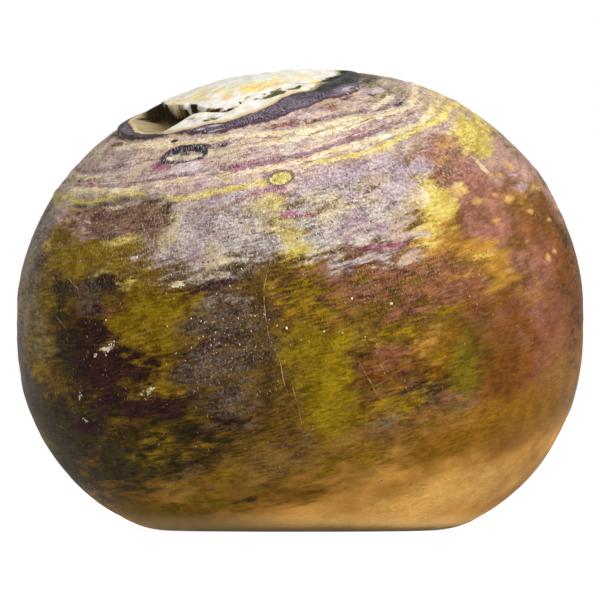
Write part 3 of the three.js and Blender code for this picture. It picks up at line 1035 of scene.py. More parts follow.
skinColours = dict(
    mauveDark=(164, 132, 134),
    mauveLight=(216, 194, 180),
    sand=(222, 194, 150),
    ringBrown=(126, 92, 80),
    bellyDark=(70, 46, 12),
    bellyLight=(118, 88, 26),
    tanDark=(150, 102, 34),
    tanLight=(212, 158, 74),
    strokeLight=(240, 228, 208),
    strokeDark=(66, 46, 34),
    glint=(204, 172, 78),
    # painted sparkles on the grey wax
    waxSparkle=(226, 220, 214),
    waxDark=(78, 64, 66),
    waxGold=(208, 182, 104),
    waxMauve=(150, 108, 130),
    # grey of the painted sheen along the left side
    sheenFilmDark=(104, 95, 94),
    sheenFilmLight=(150, 138, 136),
    # painted light low on the root, where the skin turns under
    paintedBaseLight=(253, 218, 148),
    budGoldDark=(178, 156, 68),
    budGoldLight=(232, 220, 150),
    budHeart=(190, 168, 84),
    budRim=(96, 84, 78),
    collarDark=(44, 36, 42),
    collarLight=(156, 140, 154),
    # painted glints on the collar
    collarGlint=(176, 166, 182),
    collarFoot=(82, 54, 58),
    collarTop=(62, 46, 54),
    fleshDark=(230, 222, 202),
    fleshLight=(250, 248, 240),
    fleshTanDark=(214, 182, 130),
    fleshTanLight=(232, 208, 164),
    tapDark=(176, 146, 96),
    tapLight=(214, 190, 140),
    tapRing=(128, 96, 58),
    tapRim=(110, 78, 46),
)
skinTones = {name: linear(*screen) for name, screen in skinColours.items()}
# the hollow from its lip inwards, with painted shade deepening away from the lip
hollowColours = [(0.0, (196, 178, 136)), (0.3, (166, 148, 108)), (0.55, (124, 106, 68)), (0.85, (48, 36, 18))]

pigmentColours = dict(  # dark, light, how strongly streaks and grain break the edge, and its softness
    rose=((114, 64, 52), (182, 126, 106), 0.6, 0.2, 0.45),
    russet=((94, 52, 32), (146, 92, 62), 0.4, 0.2, 0.5),
    rosewood=((88, 46, 36), (152, 98, 68), 1.3, 0.5, 0.35),
    rustAndShade=((80, 42, 10), (132, 80, 26), 0.7, 0.2, 0.45),
    orange=((144, 92, 28), (196, 146, 62), 0.8, 0.2, 0.42),
    amber=((104, 67, 20), (148, 104, 48), 0.3, 0.2, 0.5),
    ochre=((100, 64, 4), (144, 100, 22), 0.5, 0.2, 0.45),
    blush=((150, 112, 98), (202, 164, 148), 0.6, 0.2, 0.45),
    # pale tan, painted light low on the root
    paleUnderLight=((200, 148, 70), (240, 194, 112), 0.2, 0.2, 0.5),
    greyMauve=((78, 58, 44), (130, 108, 84), 0.9, 0.2, 0.4),
    # dark umber, made darker for the painted shade low on the left
    umberAndShade=((26, 18, 5), (64, 50, 19), 0.8, 0.2, 0.35),
    dusk=((102, 88, 62), (158, 142, 108), 0.7, 0.3, 0.4),
    mustard=((90, 65, 2), (154, 121, 22), 1.2, 0.3, 0.3),
    brightMustard=((106, 80, 0), (148, 122, 14), 0.6, 0.2, 0.3),
    green=((82, 66, 6), (124, 104, 22), 0.6, 0.2, 0.35),
    yellow=((178, 148, 46), (228, 206, 114), 0.9, 0.4, 0.35),
    greyGrain=((46, 32, 24), (98, 76, 56), 0.8, 0.4, 0.4),
    plum=((24, 9, 9), (64, 33, 31), 1.25, 0.5, 0.32),
    # grey wax with painted sheen
    greyWaxAndSheen=((126, 108, 110), (216, 202, 192), 1.1, 0.6, 0.45),
    brownPlum=((78, 48, 38), (142, 108, 86), 0.9, 0.5, 0.3),
    magenta=((124, 60, 82), (192, 132, 150), 0.9, 0.4, 0.35),
    lavender=((160, 134, 146), (206, 186, 192), 0.8, 0.3, 0.3),
    mauveLine=((116, 84, 90), (164, 132, 138), 1.2, 0.5, 0.3),
    creamLine=((222, 192, 134), (246, 234, 204), 1.1, 0.6, 0.3),
    yellowLine=((206, 176, 70), (240, 224, 150), 1.1, 0.6, 0.3),
    yellowDot=((186, 134, 70), (218, 178, 108), 0.6, 0.5, 0.5),
    # painted shade
    furrowAndLedgeShade=((50, 32, 12), (82, 60, 26), 0.3, 0.2, 0.4),
    cream=((196, 168, 112), (244, 228, 192), 0.8, 0.9, 0.2),
    budDark=((24, 20, 30), (72, 60, 82), 0.3, 0.5, 0.2),
    budBrownAndShade=((84, 54, 32), (132, 96, 64), 0.4, 0.5, 0.25),
    budCream=((226, 204, 150), (248, 238, 214), 0.3, 0.6, 0.2),
    budPink=((196, 164, 170), (236, 222, 222), 0.4, 0.6, 0.3),
)

crownColours = dict(
    stain=((240, 200, 104), (252, 234, 152), 0.6, 0.7, 0.55),
    collarBlack=((28, 34, 32), (72, 72, 70), 0.6, 0.4, 0.45),
    hollowShade=((32, 22, 8), (62, 46, 24), 0.3, 0.3, 0.4),
    # pale folds and painted glints
    foldPaleAndGlints=((150, 142, 146), (214, 206, 206), 0.4, 0.5, 0.25),
    olive=((62, 64, 38), (128, 122, 74), 0.6, 0.7, 0.25),
    # painted shade in the crack and its holes
    crackHoleShade=((34, 18, 14), (72, 48, 26), 0.4, 0.5, 0.2),
    collarBrown=((74, 62, 54), (124, 108, 92), 0.3, 0.4, 0.45),
)

skinPatterns = dict(  # the stretched ones follow the growth rings
    streak=dict(stretch=(8, 8, 30), detail=5, rough=0.66, warp=0.4),  # long, round the root
    short=dict(stretch=(24, 24, 110), detail=3, rough=0.6, warp=0.3),
    hair=dict(stretch=(240, 240, 84), detail=1, rough=0.5, warp=0.1),  # down the root
    cloud=dict(scale=80, detail=3, rough=0.55),
    blotch=dict(scale=260, detail=4, rough=0.62),
    jag=dict(scale=420, detail=3, rough=0.6),
    flesh=dict(scale=700, detail=3, rough=0.65),
    grain=dict(scale=1700, detail=2, rough=0.6),
)

skinLook = dict(
    shoulderEnd=(50, 61),  # degrees down where the mauve shoulder turns into the brown belly
    bellyEnd=(102, 128),
    borderSwing=9,  # degrees that those two borders wander
    sand=0.55,
    ringPitch=3.6,  # a growth ring each 1.7 degrees
    ringEdge=(0.3, 0.95),
    ringShade=0.4,
    lineWander=3.4,  # in half widths of a scar line, as are the next two
    lineCore=(1.3, 0.3),
    underLine=((0.9, 1.2), (1.9, 1.3)),
    scarEdges=dict(creamLine=0.6, yellowLine=0.4),
    sideSheen=(0.2, 0.95),  # least and most cover
    # painted light over the lowest part of the root: how high, and how strongly
    tipHeight=5 * mm,
    tip=0.95,
    darkHair=0.5,
    lightHair=(84, 60, 0.35, 0.55),  # degrees down, and its strength there
    glintHair=(62, 74),
    waxInGrain=0.28,
    speckle=0.4,
    waxTint=0.45,
    drift=(0.86, 1.12),  # darkest and lightest
    grit=(0.82, 1.17),
    calmDrift=0.45,  # how far the calm parts lose their unevenness and their grit
    calmGrit=0.6,
    roughness=(75, 50, 0.6, 0.7),  # degrees down, and its value there
    roughGrain=0.3,
    collarGlints=0.5,
    collarShine=0.08,
    fleshDryness=0.3,
    specular=0.05,
    bumpStrength=0.75,
    bumpDepth=0.5 * mm,
)
skinRelief = dict(hair=0.3, wax=0.4, flesh=0.6, short=0.16, grain=0.1, blotch=0.35)

noiseSpreads = dict(  # the part of a pattern's range over which a tone changes
    broad=(0.3, 0.7),
    streak=(0.28, 0.72),
    uneven=(0.38, 0.62),
    shoulder=(0.4, 0.58),
    sand=(0.46, 0.6),
    ringBreaks=(0.4, 0.6),
    scarBreaks=(0.35, 0.7),
    darkHair=(0.53, 0.66),
    lightHair=(0.54, 0.68),
    waxDark=(0.5, 0.62),
    waxSparkle=(0.52, 0.64),
    waxTint=(0.48, 0.62),
    budFibres=(0.42, 0.58),
    collarFibres=(0.42, 0.6),
    collarGlint=(0.6, 0.7),
    flesh=(0.35, 0.65),
    tapGrain=(0.4, 0.6),
)

crownEdges = dict(  # stored distance, how far it wanders, and where the soft edge starts and ends
    collar=("aboveCollarFoot", 1.6, -0.25, 0.25),
    collarFoot=("aboveCollarFoot", 1.4, 0.9, 0.1),
    collarTop=("belowCollarTop", 1.2, 0.8, 0.1),
    flesh=("belowCollarTop", 1.6, 0.25, -0.15),
    tanned=("belowCollarTop", 1.0, -1.6, -0.3),
    hollow=("insideLip", 0.8, -0.3, 0.3),
    face=("insideCap", 1.6, -0.25, 0.1),
)
hollowLook = dict(deepest=9.5, wander=0.5, start=(0.1, 0.5))  # degrees inside the lip
smallBudLook = dict(wander=0.3, heart=(0.5, 0.2, 0, 0.5), rim=(1.14, 1.0, 0, 0.8), inside=(0.88, 0.76))
taprootLook = dict(wander=0.3, rings=26.0, ringShade=(0.2, 1.0, 0, 0.35), rim=(1.12, 0.98), face=(0.98, 0.86))


class SkinPainter(NodeBench):
    # lays the skin's colours one over another
    def __init__(self, tree, look):
        super().__init__(tree)
        self.look = look
        self.place = self.add("ShaderNodeTexCoord").outputs["Object"]
        self.ringWay = self.stored("ringWay", "Vector")
        self.polar = self.calc("DEGREES", self.third(self.ringWay))
        self.short, self.hair, self.cloud, self.blotch, self.jag, self.grain = (
            self.pattern(name) for name in ("short", "hair", "cloud", "blotch", "jag", "grain")
        )
        self.streaks = [self.spread(streak, "streak") for streak in self.pattern("streak")[:3]]
        self.lineWander = self.swing(self.short["Green"], look["lineWander"])
        self.patchiness = self.plus(self.times(self.short["Red"], 0.55), self.times(self.blotch["Red"], 0.45))
        self.calm = self.stored("calm")
        self.uneven = self.calmed(self.spread(self.patchiness, "uneven"), look["calmDrift"], 0.5)
        self.picks = itertools.cycle(zip(self.streaks, self.grain[:3]))
        self.masks = {}
        self.shade = None

    def pattern(self, name):
        # three patterns of noise in one
        setup = dict(skinPatterns[name])
        stretch = setup.pop("stretch", None)
        place = self.place
        if stretch:
            place = self.add("ShaderNodeMapping", {"Vector": self.ringWay, "Scale": stretch}).outputs[0]
        noise = self.noise(place, **setup)["Color"]
        return self.add("ShaderNodeSeparateColor", {"Color": noise}).outputs

    def spread(self, pattern, name, *values):
        return self.rise(pattern, *noiseSpreads[name], *values)

    def calmed(self, value, share, middle):
        return self.blend(self.times(self.calm, share), value, middle)

    def lay(self, mask, colour):
        self.shade = self.mix(mask, self.shade, colour)

    def tones(self, share, dark, light):
        return self.mix(share, skinTones[dark], skinTones[light])

    def lineOffset(self, name):
        return self.plus(self.stored(name + "Offset"), self.lineWander)

    def lineWeight(self, name):
        core = self.rise(self.calc("ABSOLUTE", self.lineOffset(name)), *self.look["lineCore"])
        return self.times(core, self.stored(name + "Strength"))

    def mottle(self, name, streakDepth, grainDepth, softness):
        streak, grain = next(self.picks)
        values = {
            "Weight": self.lineWeight(name) if name.endswith("Line") else self.stored(name),
            "Streak": streak,
            "Grain": grain,
            "Streak Depth": streakDepth,
            "Grain Depth": grainDepth,
            "Softness": softness,
        }
        return self.add("ShaderNodeGroup", node_tree=mottledEdge, inputs=values).outputs["Mask"]

    def layBase(self):
        # mauve shoulder, brown belly and tan root end
        look = self.look
        self.shade = self.tones(self.spread(self.patchiness, "shoulder"), "mauveDark", "mauveLight")
        self.lay(self.spread(self.blotch["Green"], "sand", 0, look["sand"]), skinTones["sand"])
        ring = self.plus(self.times(self.stored("ringPolar"), look["ringPitch"]), self.lineWander)
        ring = self.rise(self.calc("SINE", ring), *look["ringEdge"])
        ring = self.times(ring, self.spread(self.short["Blue"], "ringBreaks"))
        self.lay(self.times(ring, look["ringShade"]), skinTones["ringBrown"])
        border = self.plus(self.polar, self.swing(self.streaks[2], look["borderSwing"]))
        belly = self.tones(self.uneven, "bellyDark", "bellyLight")
        self.lay(self.rise(border, *look["shoulderEnd"]), belly)
        tan = self.tones(self.spread(self.cloud["Red"], "broad"), "tanDark", "tanLight")
        self.lay(self.rise(border, *look["bellyEnd"]), tan)

    def layPigments(self, colours):
        # each one's edge is broken up by its own mix of streaks and grain
        for name, (dark, light, *edge) in colours.items():
            self.masks[name] = self.mottle(name, *edge)
            self.lay(self.masks[name], self.mix(self.uneven, linear(*dark), linear(*light)))

    def laySheenAndBaseLight(self):
        # a grey film of painted sheen along the left side, and painted light over the lowest part of the root
        look = self.look
        film = self.times(self.stored("sideSheen"), self.spread(self.streaks[1], "broad", *look["sideSheen"]))
        self.lay(film, self.tones(self.uneven, "sheenFilmDark", "sheenFilmLight"))
        # painted light over the lowest few millimetres, where the skin turns under to the base
        tip = self.rise(self.third(self.place), look["tipHeight"], 0, 0, look["tip"])
        self.lay(tip, skinTones["paintedBaseLight"])

    def layScarEdges(self):
        # a thin brown line under each pale leaf scar
        for name, amount in self.look["scarEdges"].items():
            below = self.lineOffset(name)
            edge = self.times(*(self.rise(below, *limits) for limits in self.look["underLine"]))
            edge = self.times(edge, self.stored(name + "Strength"), clamp=True)
            edge = self.times(edge, self.spread(self.streaks[1], "scarBreaks", 0, amount))
            self.lay(edge, skinTones["ringBrown"])

    def layHairlines(self):
        # down the root, pale on the shoulder, and golden on the belly as painted glints
        look = self.look
        self.hairZone = self.stored("hairline")
        dark = self.times(self.spread(self.hair["Green"], "darkHair"), self.hairZone)
        self.lay(self.times(dark, look["darkHair"]), skinTones["strokeDark"])
        light = self.times(self.spread(self.hair["Red"], "lightHair"), self.hairZone)
        tone = self.tones(self.rise(self.polar, *look["glintHair"]), "strokeLight", "glint")
        self.lay(self.times(light, self.rise(self.polar, *look["lightHair"])), tone)

    def layWaxAndSheen(self):
        # crumbly grey wax under a painted sheen, speckled dark and with painted sparkles
        look = self.look
        grainShare = self.times(self.masks["greyGrain"], look["waxInGrain"])
        self.waxSheenZone = self.calc("MAXIMUM", self.masks["greyWaxAndSheen"], grainShare)
        for channel, name in (("Blue", "waxDark"), ("Green", "waxSparkle")):
            speck = self.times(self.spread(self.grain[channel], name), self.waxSheenZone)
            self.lay(self.times(speck, look["speckle"]), skinTones[name])
        for channel, name in (("Green", "waxGold"), ("Blue", "waxMauve")):
            tint = self.spread(self.cloud[channel], "waxTint", 0, look["waxTint"])
            self.lay(self.times(tint, self.masks["greyWaxAndSheen"]), skinTones[name])

    def addGrit(self):
        # dark and light grain everywhere, and a slow drift in lightness
        look = self.look
        drift = self.spread(self.cloud["Green"], "broad", *look["drift"])
        grit = self.calmed(self.spread(self.grain["Red"], "broad", *look["grit"]), look["calmGrit"], 0.98)
        self.shade = self.scale(self.shade, self.times(drift, grit))

    def layBuds(self):
        # the small bud scar, golden inside a dark rim
        look = smallBudLook
        reach = self.plus(self.stored("smallBud"), self.swing(self.grain["Green"], look["wander"]))
        fibres = self.blend(0.5, self.hair["Red"], self.grain["Blue"])
        middle = self.tones(self.spread(fibres, "budFibres"), "budGoldDark", "budGoldLight")
        middle = self.mix(self.rise(reach, *look["heart"]), middle, skinTones["budHeart"])
        self.lay(self.rise(reach, *look["rim"]), skinTones["budRim"])
        self.lay(self.rise(reach, *look["inside"]), middle)

    def crownEdge(self, edge):
        name, wander, *limits = crownEdges[edge]
        moved = self.plus(self.stored(name), self.swing(self.jag["Red"], wander))
        return self.rise(moved, *limits)

    def layCollar(self):
        # dark leaf bases with painted glints, maroon along the foot
        self.collarMask = self.crownEdge("collar")
        fibres = self.plus(self.times(self.hair["Blue"], 0.6), self.times(self.cloud["Blue"], 0.4))
        collar = self.tones(self.spread(fibres, "collarFibres"), "collarDark", "collarLight")
        # painted glints on the leaf bases
        glints = self.spread(self.grain["Red"], "collarGlint", 0, self.look["collarGlints"])
        collar = self.mix(glints, collar, skinTones["collarGlint"])
        collar = self.mix(self.crownEdge("collarFoot"), collar, skinTones["collarFoot"])
        collar = self.mix(self.crownEdge("collarTop"), collar, skinTones["collarTop"])
        self.lay(self.collarMask, collar)

    def layFlesh(self):
        # cream flesh, tanned along the collar, round an olive hollow with painted shade that deepens towards
        # the broken face
        self.fleshMask = self.crownEdge("flesh")
        flesh = self.tones(self.spread(self.jag["Green"], "flesh"), "fleshDark", "fleshLight")
        tanned = self.tones(self.spread(self.cloud["Red"], "broad"), "fleshTanDark", "fleshTanLight")
        self.lay(self.fleshMask, self.mix(self.crownEdge("tanned"), flesh, tanned))
        depth = self.stored("insideLip")
        wander = self.swing(self.cloud["Green"], hollowLook["wander"])
        shade = self.plus(self.calc("DIVIDE", depth, hollowLook["deepest"]), wander, clamp=True)
        hollow = self.times(self.crownEdge("hollow"), self.rise(depth, *hollowLook["start"]))
        self.lay(hollow, self.bands(shade, hollowColours))
        self.lay(self.crownEdge("face"), flesh)

    def layTaproot(self):
        # the cut root under the base, with its rings
        look = taprootLook
        reach = self.plus(self.stored("fromTaproot"), self.swing(self.cloud["Red"], look["wander"]))
        face = self.tones(self.spread(self.grain["Red"], "tapGrain"), "tapDark", "tapLight")
        rings = self.calc("SINE", self.times(reach, look["rings"]))
        face = self.mix(self.rise(rings, *look["ringShade"]), face, skinTones["tapRing"])
        self.lay(self.rise(reach, *look["rim"]), skinTones["tapRim"])
        self.lay(self.rise(reach, *look["face"]), face)

    def roughness(self):
        # waxed and smooth low down, dry and crumbly on the shoulder
        look = self.look
        value = self.rise(self.polar, *look["roughness"])
        value = self.plus(value, self.swing(self.grain["Red"], look["roughGrain"]))
        value = self.minus(value, self.times(self.collarMask, look["collarShine"]))
        return self.plus(value, self.times(self.fleshMask, look["fleshDryness"]), clamp=True)

    def relief(self):
        # hairlines and grain, slow ripples, and the torn flesh of the crown
        hairHeight = self.minus(self.hair["Red"], self.times(self.hair["Green"], 0.8))
        waxHeight = self.minus(self.grain["Green"], self.grain["Blue"])
        fleshHeight = self.noise(self.place, **skinPatterns["flesh"])["Fac"]
        heights = dict(
            hair=self.times(hairHeight, self.hairZone),
            wax=self.times(waxHeight, self.waxSheenZone),
            flesh=self.times(fleshHeight, self.fleshMask),
            short=self.short["Green"],
            grain=self.grain["Red"],
            blotch=self.blotch["Blue"],
        )
        total = 0.0
        for name, value in heights.items():
            total = self.plus(total, self.times(value, skinRelief[name]))
        return total


def makeSkinMaterial():
    material = bpy.data.materials.new("rutabagaSkin")
    painter = SkinPainter(clearedTree(material), skinLook)
    painter.layBase()
    painter.layPigments(pigmentColours)
    painter.laySheenAndBaseLight()
    painter.layScarEdges()
    painter.layHairlines()
    painter.layWaxAndSheen()
    painter.addGrit()
    painter.layBuds()
    painter.layCollar()
    painter.layFlesh()
    painter.layPigments(crownColours)
    painter.layTaproot()
    painter.close(painter.shade, painter.roughness(), painter.relief(), skinLook)
    return material


def finishPiece(piece, standsFor=None):
    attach(piece, "root")
    if standsFor:
        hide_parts(standsFor)


addBackPatches(backPatches)
skinData = makeSkinMesh()
skin = addObject("rutabagaSkin", skinData)
skinData.materials.append(makeSkinMaterial())
finishPiece(skin, "rutabaga_root")
print("rutabaga: skin made,", len(skinData.polygons), "faces")


# Flecks and pits all over the skin, crumbs at their own places, and scratches

lensInputs = dict(Smallest="Vector", Largest="Vector", Turn="Float", Seed="Int", Material="Material")
downRootWay = (0.25, 0.13, -1.0)  # along the leaning root, from the crown down


def newPieceTree(name, **inputs):
    inputs = dict(Geometry="Geometry", **inputs)
    return newGroup(name, "GeometryNodeTree", inputs, dict(Geometry="Geometry"))


def layLenses(bench, points, normal, size, given):
    # a flat lens on each point, its long side down the root, give or take a turn
    def chance(kind, low, high, index):
        node = bench.add("FunctionNodeRandomValue", data_type=kind)
        first = 0 if kind == "FLOAT_VECTOR" else 2
        bench.feed(node.inputs[first], low)
        bench.feed(node.inputs[first + 1], high)
        bench.feed(node.inputs["Seed"], bench.plus(given["Seed"], index))
        return node.outputs[0 if kind == "FLOAT_VECTOR" else 1]

    align = "FunctionNodeAlignRotationToVector"
    upright = bench.pipe(align, {"Vector": normal}, axis="Z")
    downRoot = bench.pipe(align, {"Rotation": upright, "Vector": downRootWay}, axis="Y", pivot_axis="Z")
    turn = chance("FLOAT", bench.times(given["Turn"], -1.0), given["Turn"], 1)
    turning = {"Rotation": downRoot, "Rotate By": bench.pipe("ShaderNodeCombineXYZ", {"Z": turn})}
    turned = bench.pipe("FunctionNodeRotateRotation", turning, rotation_space="LOCAL")
    lens = bench.pipe("GeometryNodeMeshIcoSphere", {"Radius": 1.0, "Subdivisions": 1})
    scale = bench.scale(chance("FLOAT_VECTOR", given["Smallest"], given["Largest"], 2), size)
    laid = {"Points": points, "Instance": lens, "Rotation": turned, "Scale": scale}
    lenses = bench.pipe("GeometryNodeInstanceOnPoints", laid)
    toned = storeTone(bench, lenses, chance("FLOAT", 0.0, 1.0, 3), "INSTANCE")
    return finishMesh(bench, bench.pipe("GeometryNodeRealizeInstances", {"Geometry": toned}), given)


def storeTone(bench, geometry, tone, domain):
    inputs = {"Geometry": geometry, "Name": "tone", "Value": tone}
    return bench.pipe("GeometryNodeStoreNamedAttribute", inputs, data_type="FLOAT", domain=domain)


def finishMesh(bench, mesh, given):
    smooth = bench.pipe("GeometryNodeSetShadeSmooth", {"Geometry": mesh})
    return bench.pipe("GeometryNodeSetMaterial", {"Geometry": smooth, "Material": given["Material"]})


def makeScatterTree():
    sizes = dict(Zone="String", Spacing="Float", Density="Float")
    bench, given, result = newPieceTree("scatteredFlecks", **sizes, **lensInputs)
    zone = bench.pipe("GeometryNodeInputNamedAttribute", {"Name": given["Zone"]}, data_type="FLOAT")
    scatter = {
        "Mesh": given["Geometry"],
        "Distance Min": given["Spacing"],
        "Density Max": given["Density"],
        "Density Factor": zone,
        "Seed": given["Seed"],
    }
    points = bench.add("GeometryNodeDistributePointsOnFaces", scatter, distribute_method="POISSON").outputs
    bench.feed(result[0], layLenses(bench, points["Points"], points["Normal"], mm, given))
    return bench.tree


def onSkin(bench, geometry, skinMesh):
    # moves points to the nearest place on the skin
    nearest = bench.pipe("GeometryNodeProximity", {"Geometry": skinMesh}, target_element="FACES")
    return bench.pipe("GeometryNodeSetPosition", {"Geometry": geometry, "Position": nearest})


def makeCrumbTree():
    bench, given, result = newPieceTree("placedCrumbs", Skin="Object", **lensInputs)
    skinMesh = bench.add("GeometryNodeObjectInfo", {"Object": given["Skin"]}).outputs["Geometry"]
    points = onSkin(bench, given["Geometry"], skinMesh)
    facing = {"Mesh": skinMesh, "Value": bench.pipe("GeometryNodeInputNormal")}
    normal = bench.pipe("GeometryNodeSampleNearestSurface", facing, data_type="FLOAT_VECTOR")
    size = bench.pipe("GeometryNodeInputNamedAttribute", {"Name": "size"}, data_type="FLOAT")
    bench.feed(result[0], layLenses(bench, points, normal, size, given))
    return bench.tree


scratchShape = dict(
    sides=6,
    breakScale=900,
    breakRange=(0.35, 0.6),
    thinnest=0.25,  # where it breaks up, against the full thickness
    endWidth=0.05,
)


def makeScratchTree(shape):
    sizes = dict(Skin="Object", Thickness="Float", Step="Float", Material="Material")
    bench, given, result = newPieceTree("scratches", **sizes)
    skinMesh = bench.add("GeometryNodeObjectInfo", {"Object": given["Skin"]}).outputs["Geometry"]
    line = bench.pipe("GeometryNodeMeshToCurve", {"Mesh": given["Geometry"]})
    line = bench.pipe("GeometryNodeResampleCurve", {"Curve": line, "Length": given["Step"]}, mode="LENGTH")
    line = onSkin(bench, line, skinMesh)
    along = bench.add("GeometryNodeSplineParameter").outputs["Factor"]
    taper = bench.calc("SINE", bench.times(along, math.pi))
    place = bench.pipe("GeometryNodeInputPosition")
    noise = bench.noise(place, shape["breakScale"])["Fac"]
    broken = bench.rise(noise, *shape["breakRange"], shape["thinnest"], 1.0)
    width = bench.plus(bench.times(taper, broken), shape["endWidth"])
    line = storeTone(bench, line, broken, "POINT")
    circle = {"Resolution": shape["sides"], "Radius": given["Thickness"]}
    profile = bench.pipe("GeometryNodeCurvePrimitiveCircle", circle)
    tube = {"Curve": line, "Profile Curve": profile, "Scale": width, "Fill Caps": True}
    mesh = bench.pipe("GeometryNodeCurveToMesh", tube)
    bench.feed(result[0], finishMesh(bench, mesh, given))
    return bench.tree


fleckLook = dict(
    grainScale=2600,
    toneRange=(0.2, 0.75),
    roughness=(0.45, 0.7),
    specular=0.3,
    bumpStrength=0.5,
    bumpDepth=0.1 * mm,
)


def makeFleckMaterial(name, dark, light):
    # each fleck has its own tone, with a little grain
    material = bpy.data.materials.new(name)
    bench = NodeBench(clearedTree(material))
    place = bench.add("ShaderNodeTexCoord").outputs["Object"]
    grain = bench.noise(place, fleckLook["grainScale"])["Fac"]
    tone = bench.blend(0.5, bench.stored("tone"), grain)
    shade = bench.mix(bench.rise(tone, *fleckLook["toneRange"]), linear(*dark), linear(*light))
    roughness = bench.rise(grain, *noiseSpreads["broad"], *fleckLook["roughness"])
    bench.close(shade, roughness, grain, fleckLook)
    return material


def growPiece(name, mesh, tree, values):
    # runs a tree on a mesh and keeps what comes out as a plain mesh
    piece = addObject(name, mesh)
    modifier = piece.modifiers.new("grow", "NODES")
    modifier.node_group = tree
    for socket in tree.interface.items_tree:
        if socket.in_out == "INPUT" and socket.name in values:
            modifier[socket.identifier] = values[socket.name]
    evaluated = piece.evaluated_get(bpy.context.evaluated_depsgraph_get())
    grown = bpy.data.meshes.new_from_object(evaluated)
    piece.modifiers.clear()
    piece.data = grown
    finishPiece(piece)
    print("rutabaga:", name, "made,", len(grown.polygons), "faces")


flecks = dict(
    # golden flecks that paint small glints
    goldFlecks=dict(
        Spacing=0.8 * mm, Density=420000.0, Smallest=(0.04, 0.12, 0.02), Largest=(0.1, 0.46, 0.05),
        Turn=0.5, Seed=3, dark=(116, 84, 36), light=(206, 164, 88),
    ),
    paleFlecks=dict(
        Spacing=0.9 * mm, Density=300000.0, Smallest=(0.06, 0.1, 0.04), Largest=(0.16, 0.34, 0.08),
        Turn=0.8, Seed=4, dark=(186, 164, 140), light=(246, 238, 222),
    ),
    darkPits=dict(
        Spacing=1.2 * mm, Density=260000.0, Smallest=(0.1, 0.1, 0.03), Largest=(0.26, 0.28, 0.05),
        Turn=1.5, Seed=5, dark=(42, 25, 22), light=(88, 60, 50),
    ),
)

# single white dots, and loose crumbs of wax in small heaps: degrees round, degrees down, mm
whiteDots = [
    (12, 80.7, 0.42), (19.9, 84.1, 0.42), (-3.2, 83.1, 0.36), (4.4, 85.8, 0.22), (8.1, 87.1, 0.16),
    (-23, 76.7, 0.22), (-38.1, 101.6, 0.2), (-29.5, 103.5, 0.24), (12.5, 89.2, 0.16), (-35.4, 61.9, 0.45),
    (-44.3, 74.1, 0.22), (42.1, 84.3, 0.2), (38, 87.8, 0.18), (39.3, 89.9, 0.14), (45.5, 91.6, 0.14),
    (53, 101.8, 0.14), (48.7, 97.1, 0.14),
]
crumbHeaps = [
    dict(side=-44, polar=79.8, length=3.4, breadth=0.9, slope=0.8, count=34),
    dict(side=-35.6, polar=89.9, length=2.6, breadth=0.8, slope=0.6, count=26),
    dict(side=-24.3, polar=69.2, length=1.8, breadth=1, slope=0.3, count=20),
    dict(side=-55.2, polar=89, length=1.8, breadth=0.8, slope=0.8, count=12),
    dict(side=-55.7, polar=94.3, length=1.6, breadth=0.7, slope=-0.6, count=12),
    dict(side=-48.3, polar=81.1, length=1, breadth=0.6, slope=0.8, count=8),
    dict(side=150, polar=78, length=2.6, breadth=0.9, slope=0.4, count=20),
]
crumbRadii = (0.1, 0.26)  # mm
crumbs = dict(Smallest=(0.7, 0.7, 0.3), Largest=(1.2, 1.3, 0.6), Turn=1.5, Seed=8)
crumbTones = dict(dark=(184, 168, 126), light=(242, 236, 216))

scratchLines = [
    [
        (-1.3, 66.8), (-3.1, 68.5), (-4.6, 71.1), (-5.9, 73.9), (-6.6, 77.2), (-7, 80.5), (-7.2, 84),
        (-7.2, 87.4),
    ],
    [(-6.3, 87), (-6.2, 90), (-6.5, 93.8), (-6.3, 97)],
    [(-5, 94.1), (-5, 96.6), (-4.9, 99.7), (-5.2, 104)],
    [(9.8, 93.3), (10.5, 96.3), (11.4, 99.4), (12.1, 102.5)],
    [(14.1, 95), (14.5, 97.4), (14.8, 98.9)],
    [(-60.8, 72.2), (-58.4, 74), (-56.3, 75.5)],
    [(-57.8, 64.2), (-54.6, 66.2), (-51.7, 67.9)],
    [(-44.3, 79.3), (-40, 78.8), (-33.1, 77.6)],
]
scratches = dict(Thickness=0.1 * mm, Step=0.4 * mm)
scratchTones = dict(dark=(104, 86, 40), light=(176, 152, 92))


def crumbMesh():
    random = np.random.default_rng(21)
    spots = list(whiteDots)
    perMm = math.degrees(1 / meanRadius)
    for heap in crumbHeaps:
        for _ in range(heap["count"]):
            along = random.normal(0, heap["length"] / 4)
            across = random.normal(0, heap["breadth"] / 4)
            side = heap["side"] + perMm * (along - heap["slope"] * across)
            polar = heap["polar"] - perMm * (heap["slope"] * along + across)
            spots.append((side, polar, random.uniform(*crumbRadii)))
    mesh = bpy.data.meshes.new("waxCrumbs")
    mesh.from_pydata([skinPlace(side, polar, rootForm) for side, polar, _ in spots], [], [])
    sizes = mesh.attributes.new("size", "FLOAT", "POINT")
    sizes.data.foreach_set("value", [radius * mm for _, _, radius in spots])
    return mesh


def scratchMesh():
    places = []
    edges = []
    for line in scratchLines:
        edges += [(len(places) + step, len(places) + step + 1) for step in range(len(line) - 1)]
        places += [skinPlace(side, polar, rootForm) for side, polar in line]
    mesh = bpy.data.meshes.new("scratches")
    mesh.from_pydata(places, edges, [])
    return mesh


